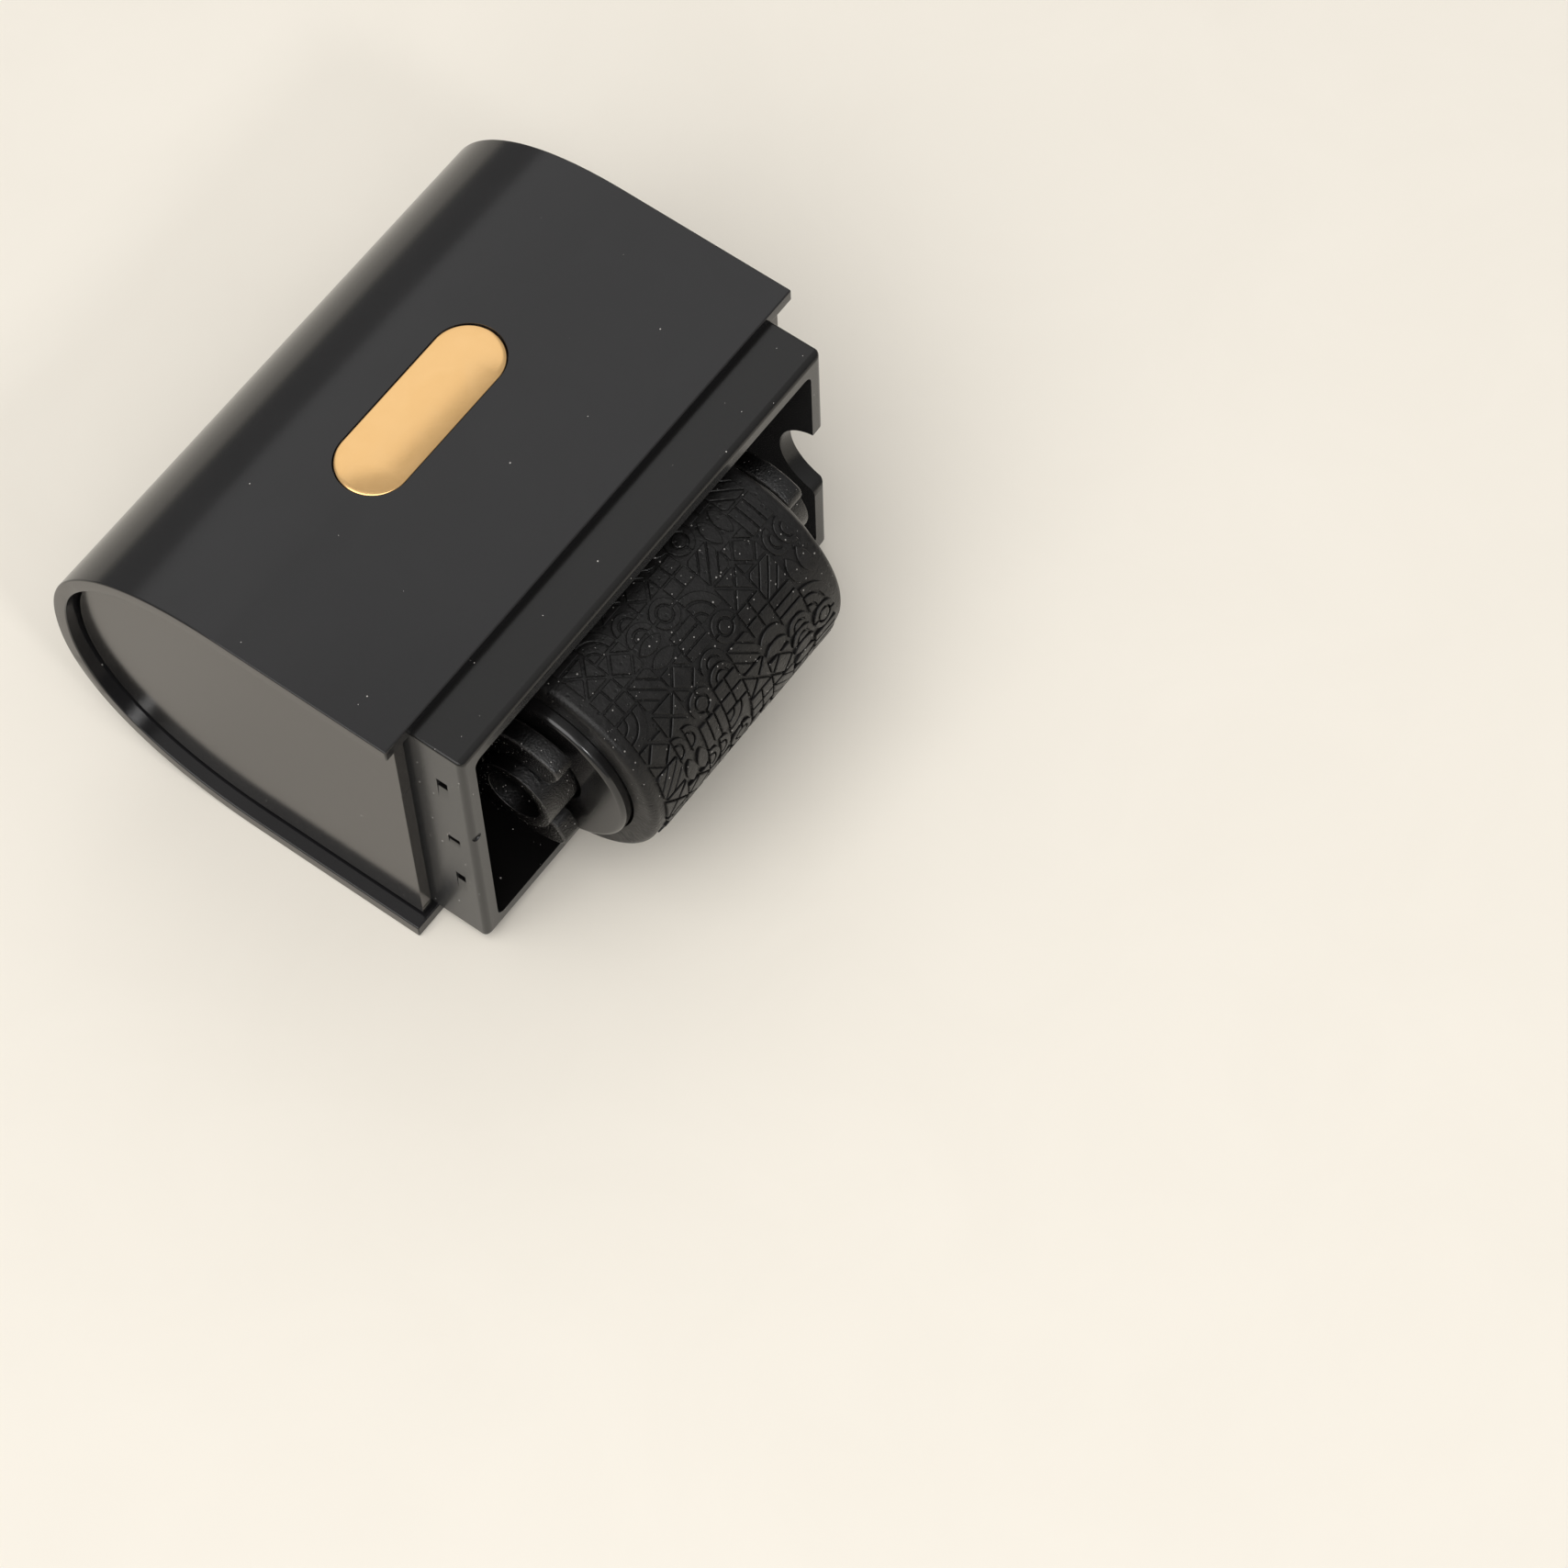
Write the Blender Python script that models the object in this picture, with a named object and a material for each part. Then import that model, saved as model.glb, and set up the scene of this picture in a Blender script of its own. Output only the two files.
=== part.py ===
"""Privacy roller stamp: a hand stamp whose rubber roller prints a scramble over an address.

The stamp lies on one broad face. X runs along the roller, -Y is the side the roller looks
out of, +Y is the rounded grip end and Z is up. The origin is under the middle of the box.
"""

import math

import bmesh
import bpy
from mathutils import Vector

# Clearance that every two pieces keep
FIT = 0.0003

# Axle: a tube that runs through the roller
AXLE_RADIUS = 0.003
AXLE_WALL = 0.0009
AXLE_OVERHANG = 0.0009
AXLE_CHAMFER = 0.0004

# Roller, from the axle outwards: hubs, felt, hollow core and the rubber die sleeve
HUB_STEP = 0.0006
SPIGOT_WALL = 0.0014
CORE_WALL = 0.0013
SLEEVE_WALL = 0.0018
SLEEVE_LENGTH = 0.0211
SLEEVE_ROUND = 0.0005
DIE_RELIEF = 0.0002
DIE_MARGIN = 0.0013
HUB_PROUD = 0.0009
HUB_DISC = 0.0016
HUB_ROUND = 0.0004
SPIGOT_LENGTH = 0.0021
PORT_RADIUS = 0.0007
PORT_RINGS = 3
PORTS_IN_RING = 6

# Cartridge frame: back plate, two clip arms and two guide skids
ROLLER_ROOM = 0.00165
ROLLER_PLAY = 0.00045
ARM_THICKNESS = 0.0016
ARM_FLARE = 0.002
CLIP_WALL = 0.0025
CLIP_TIP_ROUND = 0.0008
CLIP_MOUTH_ANGLE = 60
CLIP_SHOULDER_ANGLE = 75
BACK_PLATE = 0.0017
SKID_THICKNESS = 0.0012
SKID_LENGTH = 0.0042

# Inner housing: skirt, cartridge bay, bulkhead and the ribs that fill the nose
ARM_ROOM = 0.00465
SKIRT_WALL = 0.00135
SKIRT_SIDE_WALL = 0.00125
SKIRT_REACH = 0.0042
SKIRT_CORNER = 0.0003
SKIRT_EDGE = 0.0005
BAY_CORNER = 0.0007
BAY_FLARE = 0.0002
BULKHEAD = 0.0012
RIB_THICKNESS = 0.0012
RIB_FROM_CENTRE = 0.0062
NOTCH_RADIUS = 0.0037
NOTCH_AHEAD = 0.0008
NOTCH_DROP = 0.0004
NOTCH_LIP = 0.0008

# End panels, sunk behind the shell's rims
PANEL_THICKNESS = 0.00095
PANEL_RECESS = 0.0011
PANEL_SETBACK = 0.0004
PEG_RADIUS = 0.0011
PEG_LENGTH = 0.0011
PEG_FROM_MIDDLE = 0.0062
PEG_BEHIND_BULKHEAD = 0.0052

# Outer shell: a U of constant wall, open at both ends and towards the roller
SKIRT_STEP = 0.0008
AXLE_AHEAD = 0.0035
SHELL_WALL = 0.0011
SHELL_EDGE = 0.00015
NOSE_REACH = 0.0161
NOSE_BEHIND_BULKHEAD = 0.00345
NOSE_FULLNESS = 2.2

# Inlay plate let into the upper broad face
INLAY_LENGTH = 0.0153
INLAY_WIDTH = 0.0054
INLAY_THICKNESS = 0.00045
INLAY_FROM_FRONT = 0.01435
INLAY_GAP = 0.00022
INLAY_EDGE = 0.00012

# Cutters run past what they cut by this much, and points nearer than the second value merge
OVERRUN = 0.002
MERGE_DISTANCE = 0.0000001

# Facets along the grip end, an inlay's end, a turned piece, a clip, a small hole and a corner
NOSE_STEPS = 40
INLAY_STEPS = 14
TURN_STEPS = 48
CLIP_STEPS = 12
HOLE_STEPS = 12
CORNER_STEPS = 4

# Radii, worked out from the axle to the roller's face
HUB_BORE = AXLE_RADIUS + FIT
SPIGOT_BORE = HUB_BORE + HUB_STEP
SPIGOT_RADIUS = SPIGOT_BORE + SPIGOT_WALL
CORE_BORE = SPIGOT_RADIUS + FIT
CORE_RADIUS = CORE_BORE + CORE_WALL
SLEEVE_BORE = CORE_RADIUS + FIT
ROLLER_RADIUS = SLEEVE_BORE + SLEEVE_WALL
CLIP_BORE = AXLE_RADIUS + FIT
CLIP_OUTER = CLIP_BORE + CLIP_WALL

# Places along X, from the middle of the roller to the shell's end
HUB_FACE_X = SLEEVE_LENGTH / 2 + HUB_PROUD
HUB_BACK_X = HUB_FACE_X - HUB_DISC
CORE_HALF_LENGTH = HUB_BACK_X - FIT
SPIGOT_END_X = HUB_BACK_X - SPIGOT_LENGTH
PORT_SPACING = 2 * SPIGOT_END_X / (PORT_RINGS + 1)
ARM_INNER_X = HUB_FACE_X + ROLLER_PLAY
ARM_OUTER_X = ARM_INNER_X + ARM_THICKNESS
AXLE_HALF_LENGTH = ARM_OUTER_X + AXLE_OVERHANG
BAY_HALF_WIDTH = ARM_OUTER_X + ARM_ROOM
FRAME_HALF_WIDTH = BAY_HALF_WIDTH - FIT
SKIRT_OUTER_X = BAY_HALF_WIDTH + SKIRT_SIDE_WALL
PANEL_INNER_X = SKIRT_OUTER_X + FIT
PANEL_OUTER_X = PANEL_INNER_X + PANEL_THICKNESS
SHELL_WIDTH = 2 * (PANEL_OUTER_X + PANEL_RECESS)

# Heights, from the roller's face to the shell's
BAY_HALF_HEIGHT = ROLLER_RADIUS + ROLLER_ROOM
FRAME_HALF_HEIGHT = BAY_HALF_HEIGHT - FIT
ARM_ROOT_HALF_HEIGHT = CLIP_OUTER + ARM_FLARE
SKIRT_HALF_HEIGHT = BAY_HALF_HEIGHT + SKIRT_WALL
SHELL_HEIGHT = 2 * (SKIRT_HALF_HEIGHT + SKIRT_STEP)
MIDDLE_Z = SHELL_HEIGHT / 2

# Distances behind the axle, and from them places along Y about the middle of the whole stamp
PLATE_BEHIND_AXLE = ROLLER_RADIUS + ROLLER_ROOM
FRAME_BEHIND_AXLE = PLATE_BEHIND_AXLE + BACK_PLATE
BAY_BEHIND_AXLE = FRAME_BEHIND_AXLE + FIT
NOSE_BEHIND_AXLE = BAY_BEHIND_AXLE + BULKHEAD + NOSE_BEHIND_BULKHEAD
AXLE_Y = (ROLLER_RADIUS - NOSE_BEHIND_AXLE - NOSE_REACH) / 2
AXLE_CENTRE = Vector((0, AXLE_Y, MIDDLE_Z))
FRONT_Y = AXLE_Y + AXLE_AHEAD
SKIRT_FRONT_Y = FRONT_Y - SKIRT_REACH
BAY_BACK_Y = AXLE_Y + BAY_BEHIND_AXLE
BULKHEAD_BACK_Y = BAY_BACK_Y + BULKHEAD
PEG_Y = BULKHEAD_BACK_Y + PEG_BEHIND_BULKHEAD
ARC_START_Y = AXLE_Y + NOSE_BEHIND_AXLE
NOSE_TIP_Y = ARC_START_Y + NOSE_REACH


def clear_scene():
    for item in list(bpy.data.objects):
        bpy.data.objects.remove(item, do_unlink=True)


def make_material(name, colour, roughness, metallic=0.0):
    material = bpy.data.materials.new(name)
    material.use_nodes = True
    shader = material.node_tree.nodes["Principled BSDF"]
    shader.inputs["Base Color"].default_value = (*colour, 1.0)
    shader.inputs["Roughness"].default_value = roughness
    shader.inputs["Metallic"].default_value = metallic
    return material


def finish_mesh(name, work, origin=Vector((0, 0, 0))):
    """Turn a bmesh that was built round origin into an object placed there."""
    bmesh.ops.remove_doubles(work, verts=work.verts, dist=MERGE_DISTANCE)
    bmesh.ops.recalc_face_normals(work, faces=work.faces)
    mesh = bpy.data.meshes.new(name)
    work.to_mesh(mesh)
    work.free()
    item = bpy.data.objects.new(name, mesh)
    item.location = origin
    bpy.context.collection.objects.link(item)
    return item


def dress(item, material, smooth_angle=35):
    item.data.materials.append(material)
    item.data.shade_smooth()
    item.data.set_sharp_from_angle(angle=math.radians(smooth_angle))
    return item


def as_cutter(item):
    item.hide_render = True
    item.display_type = "WIRE"
    return item


def boolean(item, cutter, operation="DIFFERENCE"):
    as_cutter(cutter)
    step = item.modifiers.new(cutter.name, "BOOLEAN")
    step.operation = operation
    step.solver = "EXACT"
    step.object = cutter


def bevel_edges(item, width, segments=1, angle=50):
    step = item.modifiers.new("edge_break", "BEVEL")
    step.width = width
    step.segments = segments
    step.limit_method = "ANGLE"
    step.angle_limit = math.radians(angle)


def add_loft(work, sections):
    """Close a skin over sections, which are loops of equally many 3-D points."""
    loops = [[work.verts.new(point) for point in section] for section in sections]
    for near, far in zip(loops, loops[1:]):
        for index in range(len(near)):
            following = (index + 1) % len(near)
            work.faces.new((near[index], near[following], far[following], far[index]))
    work.faces.new(reversed(loops[0]))
    work.faces.new(loops[-1])


def add_prism_x(work, outline, low, high):
    """Extrude an outline of (y, z) points along X."""
    add_loft(work, [[(x, y, z) for y, z in outline] for x in (low, high)])


def add_box(work, low, high):
    outline = [(low[1], low[2]), (high[1], low[2]), (high[1], high[2]), (low[1], high[2])]
    add_prism_x(work, outline, low[0], high[0])


def add_turned(work, profile, steps=TURN_STEPS):
    """Spin a closed profile of (x, radius) points about the X axis."""
    rings = []
    for step in range(steps):
        angle = math.tau * step / steps
        ring = [(x, radius * math.cos(angle), radius * math.sin(angle)) for x, radius in profile]
        rings.append([work.verts.new(point) for point in ring])
    for near, far in zip(rings, rings[1:] + rings[:1]):
        for index in range(len(profile)):
            following = (index + 1) % len(profile)
            work.faces.new((near[index], far[index], far[following], near[following]))


def arc(centre, radius, start, end, steps):
    """Points on an arc from start to end degrees, both ends included."""
    points = []
    for step in range(steps + 1):
        angle = math.radians(start + (end - start) * step / steps)
        points.append((centre[0] + radius * math.cos(angle), centre[1] + radius * math.sin(angle)))
    return points


def rounded_rectangle(half_width, half_height, radius):
    """Outline of (x, z) points round the middle of the stamp's height."""
    points = []
    corners = ((1, 1, 0), (-1, 1, 90), (-1, -1, 180), (1, -1, 270))
    for side_x, side_z, start in corners:
        centre = (side_x * (half_width - radius), MIDDLE_Z + side_z * (half_height - radius))
        points += arc(centre, radius, start, start + 90, CORNER_STEPS)
    return points


def nose_arc(inset):
    """The grip end's curve from bottom to top, as a superellipse drawn in by inset."""
    points = []
    for step in range(NOSE_STEPS + 1):
        angle = math.pi * (step / NOSE_STEPS - 0.5)
        along = max(math.cos(angle), 0) ** (2 / NOSE_FULLNESS)
        up = math.copysign(abs(math.sin(angle)) ** (2 / NOSE_FULLNESS), angle)
        y = ARC_START_Y + (NOSE_REACH - inset) * along
        points.append((y, MIDDLE_Z + (SHELL_HEIGHT / 2 - inset) * up))
    return points


def bullet_outline(front_y, inset):
    """The shell's section, closed by a straight front edge at front_y."""
    curve = nose_arc(inset)
    return [(front_y, curve[0][1]), *curve, (front_y, curve[-1][1])]


def stadium(length, width, spread=0):
    """A long hole's outline of (x, y) points, centred, with round ends."""
    radius = width / 2 + spread
    reach = (length - width) / 2
    right = arc((reach, 0), radius, -90, 90, INLAY_STEPS)
    left = arc((-reach, 0), radius, 90, 270, INLAY_STEPS)
    return right + left


def add_stadium(work, levels):
    """A stadium plate where the inlay lies, through levels of (height, spread)."""
    centre_y = FRONT_Y + INLAY_FROM_FRONT
    sections = []
    for height, spread in levels:
        outline = stadium(INLAY_LENGTH, INLAY_WIDTH, spread)
        sections.append([(x, centre_y + y, height) for x, y in outline])
    add_loft(work, sections)


def make_outer_shell(black):
    outer = bullet_outline(FRONT_Y, 0)
    inner = bullet_outline(FRONT_Y, SHELL_WALL)
    work = bmesh.new()
    add_prism_x(work, outer + inner[::-1], -SHELL_WIDTH / 2, SHELL_WIDTH / 2)
    shell = finish_mesh("outer_shell", work)
    bevel_edges(shell, SHELL_EDGE)
    pocket = bmesh.new()
    floor = SHELL_HEIGHT - INLAY_THICKNESS - FIT
    add_stadium(pocket, [(floor, INLAY_GAP), (SHELL_HEIGHT + OVERRUN, INLAY_GAP)])
    boolean(shell, finish_mesh("inlay_pocket", pocket))
    return dress(shell, black)


def make_inlay_plate(gold):
    work = bmesh.new()
    shoulder = SHELL_HEIGHT - INLAY_EDGE
    add_stadium(work, [(SHELL_HEIGHT - INLAY_THICKNESS, 0), (shoulder, 0), (SHELL_HEIGHT, -INLAY_EDGE)])
    return dress(finish_mesh("inlay_plate", work), gold)


def peg_centres():
    return [(PEG_Y, MIDDLE_Z + side * PEG_FROM_MIDDLE) for side in (-1, 1)]


def add_pegs(work, radius, low, high):
    for y, z in peg_centres():
        outline = arc((y, z), radius, 0, 360, HOLE_STEPS)[:-1]
        add_prism_x(work, outline, low, high)


def make_end_panel(name, side, black):
    """A bullet-shaped plate with two locating pegs on its inner face."""
    work = bmesh.new()
    outline = bullet_outline(FRONT_Y + PANEL_SETBACK, SHELL_WALL + FIT)
    low, high = sorted((side * PANEL_INNER_X, side * PANEL_OUTER_X))
    add_prism_x(work, outline, low, high)
    panel = finish_mesh(name, work)
    pegs = bmesh.new()
    buried = (PANEL_INNER_X + PANEL_OUTER_X) / 2
    low, high = sorted((side * (PANEL_INNER_X - PEG_LENGTH), side * buried))
    add_pegs(pegs, PEG_RADIUS, low, high)
    boolean(panel, finish_mesh(name + "_pegs", pegs), "UNION")
    return dress(panel, black)


def skirt_section(y, inset=0):
    outline = rounded_rectangle(SKIRT_OUTER_X - inset, SKIRT_HALF_HEIGHT - inset, SKIRT_CORNER)
    return [(x, y, z) for x, z in outline]


def skirt_sections():
    """Sections of the stepped collar: its rounded front edge, then straight back."""
    rounding = arc((SKIRT_EDGE, SKIRT_EDGE), SKIRT_EDGE, 180, 270, CORNER_STEPS)
    sections = [skirt_section(SKIRT_FRONT_Y + behind, inset) for behind, inset in rounding]
    return sections + [skirt_section(FRONT_Y - FIT)]


def bay_section(y, spread=0):
    outline = rounded_rectangle(
        BAY_HALF_WIDTH + spread, BAY_HALF_HEIGHT + spread, BAY_CORNER + spread)
    return [(x, y, z) for x, z in outline]


def housing_bays():
    """Cutter: the cartridge bay behind the mouth, and the hollows between the nose ribs."""
    work = bmesh.new()
    add_loft(work, [
        bay_section(SKIRT_FRONT_Y - OVERRUN, BAY_FLARE + OVERRUN),
        bay_section(SKIRT_FRONT_Y, BAY_FLARE),
        bay_section(SKIRT_FRONT_Y + BAY_FLARE),
        bay_section(BAY_BACK_Y)])
    half_rib = RIB_THICKNESS / 2
    spans = [
        (-BAY_HALF_WIDTH, -RIB_FROM_CENTRE - half_rib),
        (-RIB_FROM_CENTRE + half_rib, RIB_FROM_CENTRE - half_rib),
        (RIB_FROM_CENTRE + half_rib, BAY_HALF_WIDTH)]
    for low, high in spans:
        add_box(
            work,
            (low, BULKHEAD_BACK_Y, -OVERRUN),
            (high, NOSE_TIP_Y + OVERRUN, SHELL_HEIGHT + OVERRUN))
    return finish_mesh("housing_bays", work)


def notch_outline():
    """The notch in the skirt's rim: a round cut whose lower lip is rounded over."""
    middle_y = SKIRT_FRONT_Y - NOTCH_AHEAD
    middle_z = MIDDLE_Z - NOTCH_DROP
    along = NOTCH_AHEAD + NOTCH_LIP
    down = math.sqrt((NOTCH_RADIUS + NOTCH_LIP) ** 2 - along ** 2)
    lean = math.degrees(math.atan2(down, along))
    lip_centre = (middle_y + along, middle_z - down)
    cut = arc((middle_y, middle_z), NOTCH_RADIUS, 90, -lean, 2 * CLIP_STEPS)
    lip = arc(lip_centre, NOTCH_LIP, 180 - lean, 180, CORNER_STEPS)
    open_y = SKIRT_FRONT_Y - OVERRUN
    return cut + lip + [(open_y, middle_z - down), (open_y, middle_z + NOTCH_RADIUS)]


def housing_side_holes():
    """Cutter: the notch in one side of the skirt, and the peg holes."""
    work = bmesh.new()
    inside = (BAY_HALF_WIDTH + ARM_OUTER_X) / 2
    add_prism_x(work, notch_outline(), inside, SKIRT_OUTER_X + OVERRUN)
    for side in (-1, 1):
        low, high = sorted((side * inside, side * (SKIRT_OUTER_X + OVERRUN)))
        add_pegs(work, PEG_RADIUS + FIT, low, high)
    return finish_mesh("housing_side_holes", work)


def make_inner_housing(black):
    """Skirt that shows, cartridge bay behind it, bulkhead and four bullet-shaped ribs."""
    body = bmesh.new()
    inset = SHELL_WALL + FIT
    outline = bullet_outline(FRONT_Y - FIT, inset)
    add_prism_x(body, outline, -SKIRT_OUTER_X, SKIRT_OUTER_X)
    housing = finish_mesh("inner_housing", body)
    collar = bmesh.new()
    add_loft(collar, skirt_sections())
    boolean(housing, finish_mesh("skirt_collar", collar), "UNION")
    boolean(housing, housing_bays())
    boolean(housing, housing_side_holes())
    return dress(housing, black)


def clip_upper_outline():
    """Upper half of the clip's side view, as (y, z) points from the axle's centre.

    It runs from the plate along the arm's back and round the squared tip to the bore.
    """
    mouth = 180 - CLIP_MOUTH_ANGLE
    lean = math.radians(mouth)
    corners = []
    for distance in (CLIP_OUTER - CLIP_TIP_ROUND, CLIP_BORE + CLIP_TIP_ROUND):
        corners.append((distance * math.cos(lean), distance * math.sin(lean)))
    outline = [(PLATE_BEHIND_AXLE, ARM_ROOT_HALF_HEIGHT)]
    outline += arc((0, 0), CLIP_OUTER, CLIP_SHOULDER_ANGLE, mouth, CLIP_STEPS)
    outline += arc(corners[0], CLIP_TIP_ROUND, mouth, mouth + 90, CORNER_STEPS)[1:]
    outline += arc(corners[1], CLIP_TIP_ROUND, mouth + 90, mouth + 180, CORNER_STEPS)
    outline += arc((0, 0), CLIP_BORE, mouth, 0, CLIP_STEPS)[1:]
    return outline


def cartridge_side_outline():
    """Side view of the cartridge: the back plate, and an open C round the axle."""
    plate = [(FRAME_BEHIND_AXLE, FRAME_HALF_HEIGHT), (PLATE_BEHIND_AXLE, FRAME_HALF_HEIGHT)]
    upper = plate + clip_upper_outline()
    lower = [(y, -z) for y, z in reversed(upper)]
    return upper + lower[1:]


def frame_plan_outline():
    """Plan view of the cartridge: a comb of two skids and two arms on the back plate."""
    back = FRAME_BEHIND_AXLE
    plate = PLATE_BEHIND_AXLE
    skid_front = plate - SKID_LENGTH
    skid_inner = FRAME_HALF_WIDTH - SKID_THICKNESS
    reach = -CLIP_OUTER - OVERRUN
    half = [
        (FRAME_HALF_WIDTH, back), (FRAME_HALF_WIDTH, skid_front), (skid_inner, skid_front),
        (skid_inner, plate), (ARM_OUTER_X, plate), (ARM_OUTER_X, reach),
        (ARM_INNER_X, reach), (ARM_INNER_X, plate)]
    return half + [(-x, y) for x, y in reversed(half)]


def make_cartridge_frame(black):
    """The comb seen from above, trimmed to the clip seen from the side."""
    plan = bmesh.new()
    height = FRAME_HALF_HEIGHT + OVERRUN
    add_loft(plan, [[(x, y, z) for x, y in frame_plan_outline()] for z in (-height, height)])
    frame = finish_mesh("cartridge_frame", plan, AXLE_CENTRE)
    side = bmesh.new()
    reach = FRAME_HALF_WIDTH + OVERRUN
    add_prism_x(side, cartridge_side_outline(), -reach, reach)
    boolean(frame, finish_mesh("cartridge_side_view", side, AXLE_CENTRE), "INTERSECT")
    return dress(frame, black)


def make_axle(black):
    """A plain tube with chamfered ends."""
    tip = AXLE_HALF_LENGTH
    shoulder = tip - AXLE_CHAMFER
    small = AXLE_RADIUS - AXLE_CHAMFER
    bore = AXLE_RADIUS - AXLE_WALL
    work = bmesh.new()
    add_turned(work, [
        (-tip, bore), (tip, bore), (tip, small), (shoulder, AXLE_RADIUS),
        (-shoulder, AXLE_RADIUS), (-tip, small)])
    return dress(finish_mesh("axle", work, AXLE_CENTRE), black)


def make_roller_core(black):
    """A tube with rings of ink ports through its wall."""
    work = bmesh.new()
    end = CORE_HALF_LENGTH
    add_turned(work, [(-end, CORE_BORE), (end, CORE_BORE), (end, CORE_RADIUS), (-end, CORE_RADIUS)])
    core = finish_mesh("roller_core", work, AXLE_CENTRE)
    ports = bmesh.new()
    middle_ring = (PORT_RINGS - 1) / 2
    for ring in range(PORT_RINGS):
        x = (ring - middle_ring) * PORT_SPACING
        for port in range(PORTS_IN_RING):
            angle = math.tau * (port + ring / 2) / PORTS_IN_RING
            add_port(ports, x, angle)
    cutter = finish_mesh("ink_ports", ports, AXLE_CENTRE)
    boolean(core, cutter)
    return dress(core, black)


def add_port(work, x, angle):
    """A small radial cylinder that crosses the core's wall at x and angle."""
    outward = Vector((0, math.cos(angle), math.sin(angle)))
    sideways = Vector((0, -math.sin(angle), math.cos(angle)))
    sections = []
    for distance in (CORE_BORE - FIT, CORE_RADIUS + FIT):
        ring = arc((x, 0), PORT_RADIUS, 0, 360, HOLE_STEPS)[:-1]
        sections.append([Vector((u, 0, 0)) + outward * distance + sideways * v for u, v in ring])
    add_loft(work, sections)


def make_hub(name, side, black):
    """A disc with a rounded rim that closes the core, with a spigot inside it."""
    rim = arc((HUB_FACE_X - HUB_ROUND, CORE_RADIUS - HUB_ROUND), HUB_ROUND, 90, 0, CORNER_STEPS)
    profile = [
        (SPIGOT_END_X, SPIGOT_BORE), (SPIGOT_END_X, SPIGOT_RADIUS),
        (HUB_BACK_X, SPIGOT_RADIUS), (HUB_BACK_X, CORE_RADIUS), *rim,
        (HUB_FACE_X, HUB_BORE), (HUB_BACK_X, HUB_BORE), (HUB_BACK_X, SPIGOT_BORE)]
    work = bmesh.new()
    add_turned(work, [(side * x, radius) for x, radius in profile])
    return dress(finish_mesh(name, work, AXLE_CENTRE), black)


def make_ink_felt(felt):
    """A felt tube between the two spigots, as thick as they are."""
    end = SPIGOT_END_X - FIT
    work = bmesh.new()
    add_turned(work, [
        (-end, SPIGOT_BORE), (end, SPIGOT_BORE), (end, SPIGOT_RADIUS), (-end, SPIGOT_RADIUS)])
    return dress(finish_mesh("ink_felt", work, AXLE_CENTRE), felt)


def make_die_sleeve(rubber):
    """The printing sleeve: plain rounded ends, and a band as high as its raised pattern."""
    end = SLEEVE_LENGTH / 2
    base = ROLLER_RADIUS - DIE_RELIEF
    margin = end - DIE_MARGIN
    far = arc((end - SLEEVE_ROUND, base - SLEEVE_ROUND), SLEEVE_ROUND, 0, 90, CORNER_STEPS)
    far += [(margin, base), (margin - DIE_RELIEF, ROLLER_RADIUS)]
    near = [(-x, radius) for x, radius in reversed(far)]
    work = bmesh.new()
    add_turned(work, [(-end, SLEEVE_BORE), (end, SLEEVE_BORE), *far, *near])
    return dress(finish_mesh("die_sleeve", work, AXLE_CENTRE), rubber)


def build():
    clear_scene()
    black = make_material("satin_black_plastic", (0.020, 0.019, 0.020), 0.42)
    dark = make_material("inner_black_plastic", (0.014, 0.013, 0.014), 0.50)
    gold = make_material("satin_gold_metal", (0.80, 0.52, 0.25), 0.34, 1.0)
    rubber = make_material("porous_black_rubber", (0.022, 0.020, 0.020), 0.72)
    felt = make_material("inked_felt", (0.010, 0.010, 0.012), 0.90)
    make_outer_shell(black)
    make_inlay_plate(gold)
    make_end_panel("end_panel_left", -1, black)
    make_end_panel("end_panel_right", 1, black)
    make_inner_housing(black)
    make_cartridge_frame(dark)
    make_axle(dark)
    make_roller_core(dark)
    make_hub("roller_hub_left", -1, dark)
    make_hub("roller_hub_right", 1, dark)
    make_ink_felt(felt)
    make_die_sleeve(rubber)


build()
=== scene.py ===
# %% [markdown]
# # A pocket roller stamp
# A rubber roller, soaked with ink, looks out of the mouth of a slim black case with a rounded grip
# end. This notebook dresses the stamp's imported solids: each piece that shows is modelled again with
# the softer edges and small marks of the real one, and every piece gets a material made of nodes.
# The solids come in first, because each new piece has to lie where its solid lies.

# %% Load the solids
import math

import bmesh
import bpy
from mathutils import Matrix, Vector


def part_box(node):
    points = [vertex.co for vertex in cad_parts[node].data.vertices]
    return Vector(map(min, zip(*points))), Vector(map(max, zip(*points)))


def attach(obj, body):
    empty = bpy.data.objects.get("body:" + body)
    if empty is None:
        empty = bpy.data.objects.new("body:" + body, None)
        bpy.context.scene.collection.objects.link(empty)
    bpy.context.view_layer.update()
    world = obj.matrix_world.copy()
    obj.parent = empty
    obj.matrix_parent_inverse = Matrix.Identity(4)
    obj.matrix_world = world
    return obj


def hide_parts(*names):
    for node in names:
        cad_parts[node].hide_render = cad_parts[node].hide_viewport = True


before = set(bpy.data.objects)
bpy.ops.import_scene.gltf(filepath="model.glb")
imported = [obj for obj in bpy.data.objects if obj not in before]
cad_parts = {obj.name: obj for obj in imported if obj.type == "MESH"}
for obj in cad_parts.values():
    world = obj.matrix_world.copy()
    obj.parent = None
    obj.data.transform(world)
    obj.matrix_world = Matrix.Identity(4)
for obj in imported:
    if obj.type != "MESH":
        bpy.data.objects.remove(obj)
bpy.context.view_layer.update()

print("solids:", sorted(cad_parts))

# %% [markdown]
# ## Sizes
# Everything is in metres, and most of it is read from the boxes of the solids, so that the pieces
# fit them. The stamp lies on a broad face: X runs along the roller, +Y points to the grip end, the
# roller looks out to -Y and Z is up. FIT is the room that loose pieces leave each other.

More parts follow.
